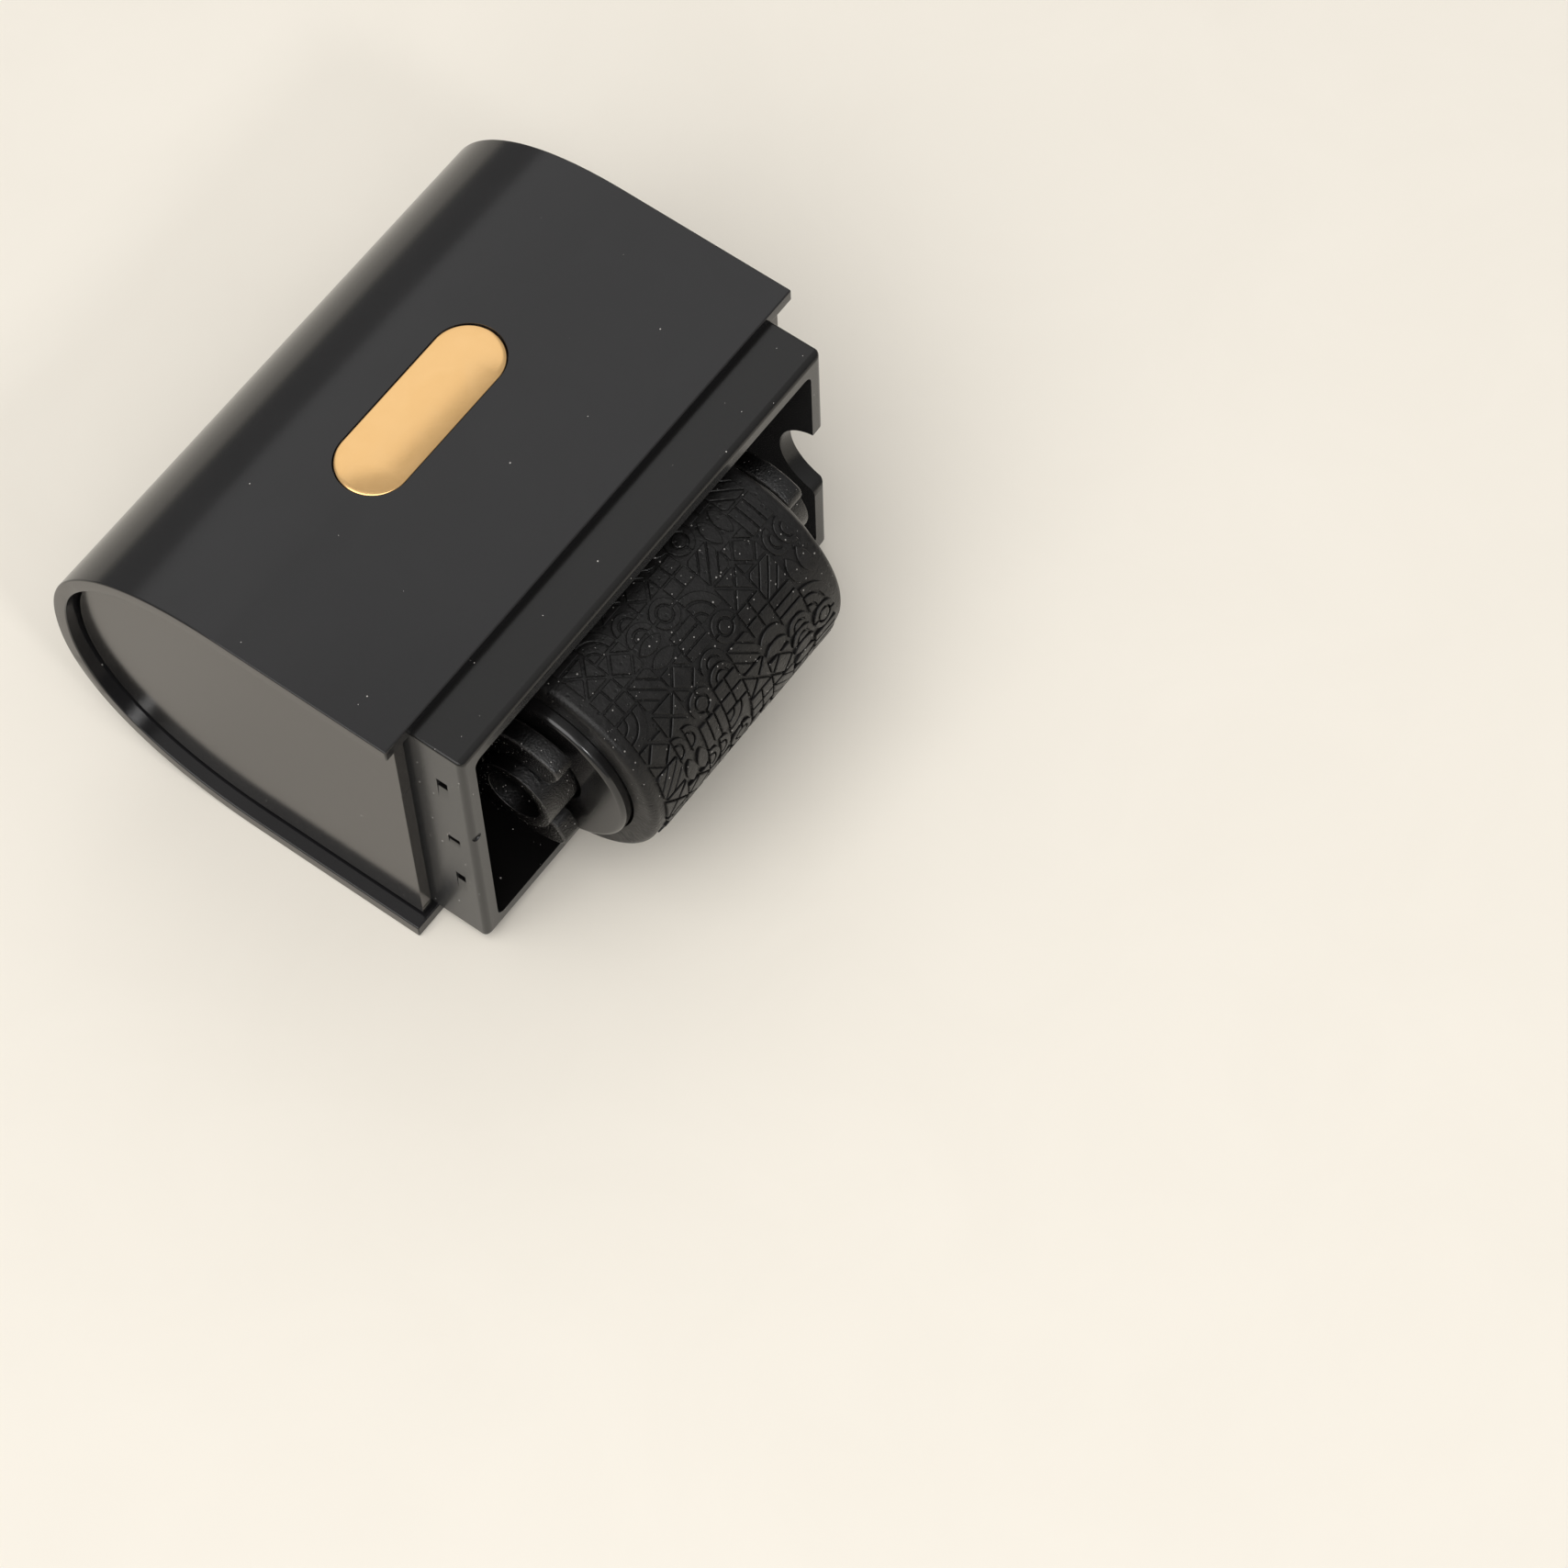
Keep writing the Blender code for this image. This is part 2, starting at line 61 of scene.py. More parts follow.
# %% Read the main sizes from the solids
MM = 0.001
FIT = 0.3 * MM
SHELL_LOW, SHELL_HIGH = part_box("outer_shell")
HOUSING_LOW, HOUSING_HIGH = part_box("inner_housing")
FRAME_LOW, FRAME_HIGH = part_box("cartridge_frame")
AXLE_LOW, AXLE_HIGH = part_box("axle")
HUB_LOW, HUB_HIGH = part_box("roller_hub_right")
SLEEVE_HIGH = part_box("die_sleeve")[1]
AXLE = (AXLE_LOW + AXLE_HIGH) / 2
MIDDLE_Z = AXLE.z
SHELL_END_X = SHELL_HIGH.x
FRONT_Y = SHELL_LOW.y
ROLLER_RADIUS = SLEEVE_HIGH.z - MIDDLE_Z
print("roller radius in mm:", round(ROLLER_RADIUS / MM, 2))

# %% [markdown]
# ## Camera
# The photograph looks down on the stamp from the side of the roller's left end, with a long lens,
# so the case hardly narrows with distance. The camera is rolled by a few degrees about the line
# along which it looks. Its place is given from the middle of the shell's front edge: how far to the
# right, how far up and how far back.

# %% Set the camera at the photograph's viewing angle
CAMERA_AZIMUTH = math.radians(-51.19)
CAMERA_ELEVATION = math.radians(61.38)
CAMERA_ROLL = math.radians(2.745)
CAMERA_LENS = 116.56
CAMERA_AWAY = Vector((11.822, -5.159, 352.65)) * MM
CAMERA_CLIP_START = 10 * MM

back = Vector((
    math.sin(CAMERA_AZIMUTH) * math.cos(CAMERA_ELEVATION),
    -math.cos(CAMERA_AZIMUTH) * math.cos(CAMERA_ELEVATION),
    math.sin(CAMERA_ELEVATION)))
level = Vector((math.cos(CAMERA_AZIMUTH), math.sin(CAMERA_AZIMUTH), 0))
upright = back.cross(level)
right = math.cos(CAMERA_ROLL) * level - math.sin(CAMERA_ROLL) * upright
above = math.sin(CAMERA_ROLL) * level + math.cos(CAMERA_ROLL) * upright
camera = bpy.data.objects.new("camera", bpy.data.cameras.new("camera"))
bpy.context.scene.collection.objects.link(camera)
camera.data.lens = CAMERA_LENS
camera.data.clip_start = CAMERA_CLIP_START
camera.rotation_mode = "QUATERNION"
camera.rotation_quaternion = Matrix((right, above, back)).transposed().to_quaternion()
camera.location = (
    Vector((0, FRONT_Y, 0)) + right * CAMERA_AWAY.x + above * CAMERA_AWAY.y + back * CAMERA_AWAY.z)
bpy.context.scene.camera = camera
print("camera in mm:", [round(c / MM, 1) for c in camera.location])

# %% [markdown]
# ## A few working habits
# Modelling by hand in Blender means adding a primitive, opening it in edit mode, selecting a part
# of it and using a tool on the selection. These helpers do the same, and select by place.

# %% Helpers for edit mode
NEAR = MM / 100
SAME_CORNER = MM / 10000


def begin(name, add, centre, scale=(1, 1, 1), **kind):
    """Add a primitive with nothing else selected, fix its size and open it in edit mode."""
    bpy.ops.object.select_all(action="DESELECT")
    add(location=centre, **kind)
    piece = bpy.context.object
    piece.name = piece.data.name = name
    piece.scale = scale
    bpy.ops.object.transform_apply(location=True, rotation=True, scale=True)
    bpy.ops.object.mode_set(mode="EDIT")
    bpy.ops.mesh.select_mode(type="VERT")
    return piece


def pick(piece, kind, test):
    """Select the corners, edges or faces whose middle passes the test."""
    bpy.ops.mesh.select_mode(type=kind)
    bpy.ops.mesh.select_all(action="DESELECT")
    work = bmesh.from_edit_mesh(piece.data)
    if kind == "VERT":
        chosen = [corner for corner in work.verts if test(corner.co)]
    elif kind == "EDGE":
        chosen = [edge for edge in work.edges if test((edge.verts[0].co + edge.verts[1].co) / 2)]
    else:
        chosen = [face for face in work.faces if test(face.calc_center_median())]
    for part in chosen:
        part.select_set(True)
    work.select_flush_mode()
    bmesh.update_edit_mesh(piece.data)


def extrude(step):
    bpy.ops.mesh.extrude_region_move(TRANSFORM_OT_translate={"value": step})


def leave(piece):
    """Point all faces outwards and close edit mode."""
    bpy.ops.mesh.select_all(action="SELECT")
    bpy.ops.mesh.remove_doubles(threshold=SAME_CORNER)
    bpy.ops.mesh.normals_make_consistent(inside=False)
    bpy.ops.object.mode_set(mode="OBJECT")
    return piece

# %% [markdown]
# ## Outlines
# Many pieces of the stamp are one outline with a thickness, as a moulder would draw them. The pen
# here is a tiny plane merged to one corner: the corner is extruded from point to point, and the
# last point is joined to the first. Filled and extruded it is a plate, spun about the axle it is a
# turned piece.

# %% Helpers for outlines
PEN_SIZE = MM / 10
OUTLINE_END = MM / 1000


def arc(middle, radius, start, end, steps):
    """Points of an arc from start to end degrees, both ends included."""
    points = []
    for step in range(steps + 1):
        angle = math.radians(start + (end - start) * step / steps)
        points.append((middle[0] + radius * math.cos(angle), middle[1] + radius * math.sin(angle)))
    return points


def draw(name, points):
    """Extrude one corner from point to point, and close the line."""
    points = [Vector(point) for point in points]
    piece = begin(name, bpy.ops.mesh.primitive_plane_add, points[0], size=PEN_SIZE)
    bpy.ops.mesh.merge(type="CENTER")
    for near, far in zip(points, points[1:]):
        extrude(far - near)
    ends = (points[0], points[-1])
    pick(piece, "VERT", lambda place: min((place - end).length for end in ends) < OUTLINE_END)
    bpy.ops.mesh.edge_face_add()
    return piece


def plate(name, points, thickness):
    """Fill a drawn outline and give it a thickness."""
    piece = draw(name, points)
    bpy.ops.mesh.select_all(action="SELECT")
    bpy.ops.mesh.edge_face_add()
    extrude(thickness)
    return leave(piece)


def turn(name, profile, steps):
    """Spin a closed profile of (x, radius) points once round the axle."""
    piece = draw(name, [AXLE + Vector((x, 0, radius)) for x, radius in profile])
    bpy.ops.mesh.select_all(action="SELECT")
    bpy.ops.mesh.spin(steps=steps, angle=math.tau, center=AXLE, axis=(1, 0, 0))
    return leave(piece)

# %% [markdown]
# ## Finishing steps
# Moulded plastic has no knife-sharp edge. A Bevel modifier rounds each edge that is sharper than a
# given angle, and the new faces are noted in an attribute, because a rounded edge is also where a
# pocket tool is rubbed bright. Weighted normals then keep the flat faces flat to the eye.

# %% Helpers for modifiers
WORN_EDGE = "worn_edge"
SMOOTH_BELOW = math.radians(40)


def with_modifier(piece, kind, **options):
    """Add a modifier, set its options and apply it."""
    bpy.ops.object.select_all(action="DESELECT")
    piece.select_set(True)
    bpy.context.view_layer.objects.active = piece
    step = piece.modifiers.new(kind.lower(), kind)
    for option, value in options.items():
        setattr(step, option, value)
    bpy.ops.object.modifier_apply(modifier=step.name)


def combine(piece, other, operation="DIFFERENCE"):
    """Cut another mesh out of a piece, or add or cross it, and throw the other mesh away."""
    with_modifier(piece, "BOOLEAN", object=other, operation=operation, solver="EXACT")
    bpy.data.objects.remove(other)


def soften(piece, width, segments=3, angle=50):
    """Round the sharp edges, and note the corners inside each rounding."""
    mesh = piece.data
    if WORN_EDGE not in mesh.attributes:
        mesh.attributes.new(WORN_EDGE, "FLOAT", "POINT")
    mesh.materials.clear()
    for slot in range(2):
        mesh.materials.append(None)
    for face in mesh.polygons:
        face.material_index = 0
    with_modifier(
        piece, "BEVEL", width=width, segments=segments, limit_method="ANGLE",
        angle_limit=math.radians(angle), material=1, use_clamp_overlap=True)
    mesh = piece.data
    flat = set()
    rounded = set()
    for face in mesh.polygons:
        (rounded if face.material_index else flat).update(face.vertices)
        face.material_index = 0
    worn = mesh.attributes[WORN_EDGE].data
    for corner in rounded - flat:
        worn[corner].value = 1
    mesh.materials.clear()


def hand_over(piece, finish, body, slot, *nodes):
    """Smooth the shading, dress the piece and let it stand for its solids."""
    bpy.ops.object.select_all(action="DESELECT")
    piece.select_set(True)
    bpy.context.view_layer.objects.active = piece
    bpy.ops.object.shade_smooth_by_angle(angle=SMOOTH_BELOW)
    with_modifier(piece, "WEIGHTED_NORMAL", keep_sharp=True, weight=60)
    piece.data.materials.clear()
    piece.data.materials.append(finish)
    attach(piece, body)
    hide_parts(*nodes)
    print(piece.name, "faces:", len(piece.data.polygons), "rides on", body)

# %% [markdown]
# ## Helpers for materials
# A material is a small network of nodes. A helper adds a node, sets its options and feeds its
# sockets, each with a number or with another node's output, so that a network reads like a list.

# %% Helpers for shader nodes
def feed(tree, value, socket):
    if isinstance(value, bpy.types.NodeSocket):
        tree.links.new(value, socket)
    else:
        socket.default_value = value


def node(tree, kind, feeds=None, **options):
    """Add a node, set its options and feed its sockets."""
    made = tree.nodes.new("ShaderNode" + kind)
    for option, value in options.items():
        setattr(made, option, value)
    for label, value in (feeds or {}).items():
        feed(tree, value, made.inputs[label])
    return made


def compute(tree, operation, first, second=0.0):
    feeds = {0: first, 1: second}
    return node(tree, "Math", feeds, operation=operation, use_clamp=True).outputs[0]


def mix_colour(tree, share, first, second):
    """Blend two colours by a share from 0 to 1."""
    feeds = {0: share, 6: first, 7: second}
    return node(tree, "Mix", feeds, data_type="RGBA").outputs[2]


def spread(tree, value, low, high):
    """Stretch a value that runs from 0 to 1 so that it runs from low to high."""
    feeds = {"Value": value, "To Min": low, "To Max": high}
    return node(tree, "MapRange", feeds).outputs["Result"]


def object_place(tree):
    return tree.nodes.new("ShaderNodeTexCoord").outputs["Object"]

# %% Helpers for groups and finishes
def open_group(name, inputs, output):
    """Start a node group with named number sockets and one output."""
    tree = bpy.data.node_groups.new(name, "ShaderNodeTree")
    for label, value in inputs.items():
        made = tree.interface.new_socket(name=label, in_out="INPUT", socket_type="NodeSocketFloat")
        made.default_value = value
    tree.interface.new_socket(name=output, in_out="OUTPUT", socket_type="NodeSocketFloat")
    given = tree.nodes.new("NodeGroupInput").outputs
    result = tree.nodes.new("NodeGroupOutput").inputs[output]
    return tree, given, result


def effect(tree, group, **values):
    """Place a shared effect with this material's own values, and give what it puts out."""
    return node(tree, "Group", values, node_tree=group).outputs[0]


def open_finish(name, **values):
    """Start a material and set the values that are the same all over it."""
    finish = bpy.data.materials.new(name)
    finish.use_nodes = True
    shader = finish.node_tree.nodes["Principled BSDF"]
    for label, value in values.items():
        shader.inputs[label.replace("_", " ")].default_value = value
    return finish, finish.node_tree, shader


def emboss(tree, shader, height, depth):
    """Turn a height from 0 to 1 into the shader's normals, for a relief of the given depth."""
    bump = node(tree, "Bump", {"Height": height, "Strength": 1.0, "Distance": depth})
    feed(tree, bump.outputs["Normal"], shader.inputs["Normal"])

# %% [markdown]
# ## Effects that several materials share
# Four small effects turn plain black plastic and rubber into the real ones: a fine moulded grain,
# broad marks left by handling, edges rubbed lighter, and single light specks, which are dust on most
# pieces and painted glints on the cartridge. Each is a node group with its own sockets, built once
# and placed in every material with that material's values.
# Object coordinates are in metres, so a scale of 5000 means features of a fifth of a millimetre.

# %% The fine grain and the broad marks
GRAIN, given, result = open_group("moulded_grain", {"Scale": 5000.0}, "Height")
noise = node(GRAIN, "TexNoise", {
    "Vector": object_place(GRAIN), "Scale": given["Scale"], "Detail": 3.0, "Roughness": 0.6})
feed(GRAIN, noise.outputs["Fac"], result)

MARKS, given, result = open_group("handling_marks", {"Scale": 140.0}, "Share")
noise = node(MARKS, "TexNoise", {
    "Vector": object_place(MARKS), "Scale": given["Scale"], "Detail": 5.0, "Roughness": 0.62,
    "Distortion": 0.8})
feed(MARKS, spread(MARKS, noise.outputs["Fac"], -0.5, 1.5), result)
print("shared effects:", GRAIN.name, MARKS.name)

# %% The rubbed edges
WEAR, given, result = open_group("rubbed_edges", {"Scale": 1500.0, "Amount": 0.7}, "Mask")
patches = node(WEAR, "TexNoise", {
    "Vector": object_place(WEAR), "Scale": given["Scale"], "Detail": 4.0, "Roughness": 0.7})
edge = node(WEAR, "Attribute", attribute_name=WORN_EDGE).outputs["Fac"]
patchy = compute(WEAR, "SUBTRACT", spread(WEAR, patches.outputs["Fac"], -0.6, 2.2), 0.15)
worn = compute(WEAR, "MULTIPLY", edge, patchy)
feed(WEAR, compute(WEAR, "MULTIPLY", worn, given["Amount"]), result)
print("shared effect:", WEAR.name)

# %% The specks of dust, and the painted glints
DUST_AND_GLINTS, given, result = open_group(
    "dust_and_glint_specks", {"Scale": 900.0, "Share": 0.08, "Size": 0.07}, "Mask")
cells = node(DUST_AND_GLINTS, "TexVoronoi", {"Vector": object_place(DUST_AND_GLINTS), "Scale": given["Scale"]})
chance = node(DUST_AND_GLINTS, "SeparateColor", {0: cells.outputs["Color"]})
kept = compute(DUST_AND_GLINTS, "LESS_THAN", chance.outputs[0], given["Share"])
grown = compute(DUST_AND_GLINTS, "MULTIPLY", given["Size"], chance.outputs[1])
near = compute(DUST_AND_GLINTS, "LESS_THAN", cells.outputs["Distance"], grown)
feed(DUST_AND_GLINTS, compute(DUST_AND_GLINTS, "MULTIPLY", kept, near), result)
print("shared effect:", DUST_AND_GLINTS.name)

# %% [markdown]
# ## The black plastics
# One recipe makes all the black plastics, with different values. The case has a fine satin face,
# the end panels are smoother and mirror the floor beside them, the collar is a little rougher and
# dusty from handling, the cartridge is a coarse moulding whose grain glitters, helped by light specks
# painted on as painted glints, and the roller's hubs are the most reflective. All of them are nearly
# black, so that what tells them apart is how they reflect.

# %% The recipe for a black plastic
DARKER, LIGHTER = 0.86, 1.16
SMOOTHER, ROUGHER = 0.95, 1.06
EDGE_POLISH = 0.12
RUBBED_GREY = (0.10, 0.095, 0.09, 1)
# The colour of the light specks: dust, and on the cartridge painted glints.
DUST_AND_GLINT_GREY = (0.42, 0.40, 0.38, 1)


def black_plastic(name, gloss, tone, rubbed, roughness, grain_scale, grain_depth, dust_and_glints):
    """A black plastic: gloss holds shader values, rubbed says how light its edges are worn."""
    finish, tree, shader = open_finish(name, **gloss)
    marks = effect(tree, MARKS, Scale=150.0)
    worn = effect(tree, WEAR, Amount=rubbed)
    # Light specks: dust, and on the cartridge painted glints of its grain.
    speck = effect(tree, DUST_AND_GLINTS, **dust_and_glints)
    low, high = [(*[c * factor for c in tone], 1) for factor in (DARKER, LIGHTER)]
    body = mix_colour(tree, marks, low, high)
    body = mix_colour(tree, worn, body, RUBBED_GREY)
    feed(tree, mix_colour(tree, speck, body, DUST_AND_GLINT_GREY), shader.inputs["Base Color"])
    rough = spread(tree, marks, roughness * SMOOTHER, roughness * ROUGHER)
    rough = compute(tree, "SUBTRACT", rough, compute(tree, "MULTIPLY", worn, EDGE_POLISH))
    feed(tree, rough, shader.inputs["Roughness"])
    emboss(tree, shader, effect(tree, GRAIN, Scale=grain_scale), grain_depth)
    return finish

# %% The five black plastics
case_black = black_plastic(
    "case_black", {"IOR": 1.46}, tone=(0.0092, 0.0089, 0.0095), rubbed=0.03, roughness=0.17,
    grain_scale=5200.0, grain_depth=0.0016 * MM,
    dust_and_glints={"Scale": 1200.0, "Share": 0.14, "Size": 0.08})
panel_black = black_plastic(
    "panel_black", {"IOR": 1.58, "Specular_Tint": (1.0, 0.93, 0.88, 1), "Sheen_Weight": 0.02},
    tone=(0.0085, 0.0076, 0.0070), rubbed=0.3, roughness=0.15,
    grain_scale=5200.0, grain_depth=0.0010 * MM, dust_and_glints={"Scale": 1500.0, "Share": 0.1})
collar_black = black_plastic(
    "collar_black", {"IOR": 1.47, "Sheen_Weight": 0.15, "Sheen_Roughness": 0.35},
    tone=(0.0045, 0.0042, 0.0040), rubbed=0.25, roughness=0.25,
    grain_scale=4200.0, grain_depth=0.0030 * MM,
    dust_and_glints={"Scale": 1700.0, "Share": 0.35, "Size": 0.12})
# The cartridge's light specks are painted glints of its glittering grain, not dust.
cartridge_black = black_plastic(
    "cartridge_black", {"IOR": 1.5}, tone=(0.0030, 0.0028, 0.0028), rubbed=0.3, roughness=0.24,
    grain_scale=6500.0, grain_depth=0.06 * MM, dust_and_glints={"Scale": 4500.0, "Share": 0.35, "Size": 0.18})
hub_black = black_plastic(
    "hub_black", {"IOR": 1.6}, tone=(0.0065, 0.0062, 0.0062), rubbed=0.3, roughness=0.19,
    grain_scale=5200.0, grain_depth=0.0012 * MM, dust_and_glints={"Share": 0.04})
print("plastics:", [m.name for m in bpy.data.materials if m.name.endswith("_black")])

# %% [markdown]
# ## The gold-coloured inlay
# The inlay is a thin metal plate with a satin sheen. Metal has no colour of its own under the
# gloss: the base colour is the colour of its reflection, so it only varies a little where it was
# handled.

# %% The inlay's metal
inlay_gold, tree, shader = open_finish("inlay_gold", Metallic=1.0)
marks = effect(tree, MARKS, Scale=420.0)
speck = effect(tree, DUST_AND_GLINTS, Share=0.06, Size=0.09)
colour = mix_colour(tree, marks, (0.83, 0.515, 0.22, 1), (0.88, 0.56, 0.255, 1))
feed(tree, mix_colour(tree, speck, colour, (0.16, 0.10, 0.05, 1)), shader.inputs["Base Color"])
feed(tree, spread(tree, marks, 0.16, 0.21), shader.inputs["Roughness"])
emboss(tree, shader, effect(tree, GRAIN, Scale=7000.0), 0.0012 * MM)
print("metal:", inlay_gold.name)

# %% [markdown]
# ## Rubber and felt
# The printing rubber is a fine foam, so its skin is matt and has pores that hold the ink. The pores
# are cells whose middles are sunk and painted darker, a painted shade inside each hole. The felt
# inside the roller is rougher still.

# %% The rubber
PORE_SHARE = 0.42
printing_rubber, tree, shader = open_finish("printing_rubber", IOR=1.38)
marks = effect(tree, MARKS, Scale=900.0)
speck = effect(tree, DUST_AND_GLINTS, Scale=2600.0, Share=0.5, Size=0.18)
cells = node(tree, "TexVoronoi", {
    "Vector": object_place(tree), "Scale": 2200.0, "Randomness": 1.0})
pore = node(tree, "MapRange", {
    "Value": cells.outputs["Distance"], "From Min": 0.12, "From Max": 0.30,
    "To Min": 1.0, "To Max": 0.0}).outputs["Result"]
chance = node(tree, "SeparateColor", {0: cells.outputs["Color"]}).outputs[0]
pore = compute(tree, "MULTIPLY", pore, compute(tree, "LESS_THAN", chance, PORE_SHARE))
body = mix_colour(tree, marks, (0.0040, 0.0038, 0.0038, 1), (0.0100, 0.0094, 0.0092, 1))
# Painted shade: the pores' sunk middles are painted near black.
body = mix_colour(tree, pore, body, (0.001, 0.001, 0.001, 1))
feed(tree, mix_colour(tree, speck, body, (0.26, 0.25, 0.24, 1)), shader.inputs["Base Color"])
feed(tree, spread(tree, marks, 0.28, 0.50), shader.inputs["Roughness"])
height = compute(tree, "SUBTRACT", effect(tree, GRAIN, Scale=4200.0), pore)
emboss(tree, shader, height, 0.04 * MM)
print("rubber:", printing_rubber.name)

# %% The felt
soaked_felt, tree, shader = open_finish("soaked_felt", Sheen_Weight=0.15)
marks = effect(tree, MARKS, Scale=900.0)
body = mix_colour(tree, marks, (0.007, 0.007, 0.009, 1), (0.016, 0.016, 0.018, 1))
feed(tree, body, shader.inputs["Base Color"])
feed(tree, spread(tree, marks, 0.80, 0.98), shader.inputs["Roughness"])
emboss(tree, shader, effect(tree, GRAIN, Scale=3000.0), 0.12 * MM)
print("felt:", soaked_felt.name)

# %% [markdown]
# ## The shell
# The shell is one sheet of plastic bent round the grip end and open at both ends. By hand it is a
# ribbon: a plane for the lower broad face, whose back edge is extruded along the curve of the grip
# end and then forward again. The curve is a superellipse, a little fuller than an ellipse. Solidify
# gives the ribbon its wall, and its edges are softened.

# %% The shell's ribbon
NOSE_REACH = 16.1 * MM
NOSE_FULLNESS = 2.2
NOSE_STEPS = 72
SHELL_WALL = 1.1 * MM
ARC_START_Y = SHELL_HIGH.y - NOSE_REACH


def nose_curve(inset):
    """Points of the grip end from the lower face round to the upper one, drawn in by inset."""
    points = []
    for step in range(NOSE_STEPS + 1):
        angle = math.pi * (step / NOSE_STEPS - 0.5)
        along = max(math.cos(angle), 0) ** (2 / NOSE_FULLNESS)
        up = math.copysign(abs(math.sin(angle)) ** (2 / NOSE_FULLNESS), angle)
        y = ARC_START_Y + (NOSE_REACH - inset) * along
        points.append(Vector((0, y, MIDDLE_Z + (MIDDLE_Z - inset) * up)))
    return points


def bent_ribbon(name, low_x, high_x, front_y, inset):
    """Run a ribbon back along the lower face, round the grip end and forward over the top."""
    curve = nose_curve(inset)
    middle = Vector(((low_x + high_x) / 2, (front_y + ARC_START_Y) / 2, curve[0].z))
    size = (high_x - low_x, ARC_START_Y - front_y, 1)
    ribbon = begin(name, bpy.ops.mesh.primitive_plane_add, middle, size, size=1)
    pick(ribbon, "EDGE", lambda place: place.y > ARC_START_Y - NEAR)
    for near, far in zip(curve, curve[1:]):
        extrude(far - near)
    extrude(Vector((0, front_y - ARC_START_Y, 0)))
    return ribbon


shell = leave(bent_ribbon("case_shell", -SHELL_END_X, SHELL_END_X, FRONT_Y, 0))
with_modifier(shell, "SOLIDIFY", thickness=SHELL_WALL, offset=-1, use_even_offset=True)
soften(shell, 0.12 * MM)
print("shell wall in mm:", round(SHELL_WALL / MM, 2))

# %% [markdown]
# ## The inlay and its pocket
# Both are the same long shape with round ends: a circle whose two halves are pulled apart. The
# pocket is a little wider, so that a thin dark line shows all round the plate. The plate is domed:
# its top is inset again and again, and each inset is raised a little less than the one before. The
# cut ends of the shell's wall are as smooth as the end panels, so they wear the panels' finish.

# %% The pocket in the shell
INLAY_LOW, INLAY_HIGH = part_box("inlay_plate")
INLAY_CENTRE = (INLAY_LOW + INLAY_HIGH) / 2
INLAY_SIZE = INLAY_HIGH - INLAY_LOW
INLAY_GAP = 0.06 * MM
ROUND_END_STEPS = 72
SIDEWAYS = 0.9


def long_round(name, low_z, high_z, spare):
    """A circle pulled apart into a long shape with round ends, then raised to a solid."""
    centre = Vector((INLAY_CENTRE.x, INLAY_CENTRE.y, low_z))
    radius = INLAY_SIZE.y / 2 + spare
    reach = (INLAY_SIZE.x - INLAY_SIZE.y) / 2
    piece = begin(
        name, bpy.ops.mesh.primitive_circle_add, centre, vertices=ROUND_END_STEPS, radius=radius,
        fill_type="NGON", rotation=(0, 0, math.pi / ROUND_END_STEPS))
    for side in (-1, 1):
        pick(piece, "VERT", lambda place: (place.x - centre.x) * side > 0)
        bpy.ops.transform.translate(value=(side * reach, 0, 0))
    bpy.ops.mesh.select_all(action="SELECT")
    extrude(Vector((0, 0, high_z - low_z)))
    return leave(piece)


combine(shell, long_round("pocket", INLAY_LOW.z - FIT, SHELL_HIGH.z + MM, INLAY_GAP))
soften(shell, 0.05 * MM, segments=2, angle=62)
hand_over(shell, case_black, "housing", "satin_black_plastic", "outer_shell")
shell.data.materials.append(panel_black)
for face in shell.data.polygons:
    face.material_index = 1 if abs(face.normal.x) > SIDEWAYS else 0

# %% The inlay
INLAY_CROWN = 0.14 * MM
CROWN_STEPS = 6
inlay = long_round("inlay", INLAY_LOW.z, INLAY_HIGH.z - INLAY_CROWN, 0)
bpy.ops.object.mode_set(mode="EDIT")
pick(inlay, "FACE", lambda place: place.z > INLAY_HIGH.z - INLAY_CROWN - NEAR)
for step in range(CROWN_STEPS):
    bpy.ops.mesh.inset(thickness=INLAY_SIZE.y / 2 / (CROWN_STEPS + 0.5))
    lower, higher = [1 - (1 - s / CROWN_STEPS) ** 2 for s in (step, step + 1)]
    bpy.ops.transform.translate(value=(0, 0, INLAY_CROWN * (higher - lower)))
leave(inlay)
soften(inlay, 0.12 * MM)
hand_over(inlay, inlay_gold, "housing", "satin_gold_metal", "inlay_plate")

# %% [markdown]
# ## The end panels
# Each end is closed by a plate sunk behind the shell's rim. It starts as the same ribbon, only as
# wide as the plate is thick, and its open sides are filled. Two pegs on its inner face find holes
# in the housing. Across the plate's front edge two fine lines show where it meets its clips.

# %% Helpers for the panels and the housing
PEG_RADIUS = 1.1 * MM
PEG_FROM_MIDDLE = 6.2 * MM
PEG_Y = 6.85 * MM
PEG_HEIGHTS = (MIDDLE_Z - PEG_FROM_MIDDLE, MIDDLE_Z + PEG_FROM_MIDDLE)


def close_ribbon(ribbon, low_x, high_x, front_y):
    """Fill the front and the two flat sides of a ribbon."""
    pick(ribbon, "EDGE", lambda place: place.y < front_y + NEAR and low_x < place.x < high_x)
    bpy.ops.mesh.edge_face_add()
    for side in (low_x, high_x):
        pick(ribbon, "EDGE", lambda place: abs(place.x - side) < NEAR)
        bpy.ops.mesh.edge_face_add()
    return leave(ribbon)


def block(name, low, high):
    """A box between its lowest and its highest corner, to cut with."""
    low, high = Vector(low), Vector(high)
    return leave(begin(name, bpy.ops.mesh.primitive_cube_add, (low + high) / 2, high - low, size=1))


def peg(name, low_x, high_x, z, radius):
    return leave(begin(
        name, bpy.ops.mesh.primitive_cylinder_add, ((low_x + high_x) / 2, PEG_Y, z), vertices=32,
        radius=radius, depth=high_x - low_x, rotation=(0, math.pi / 2, 0)))

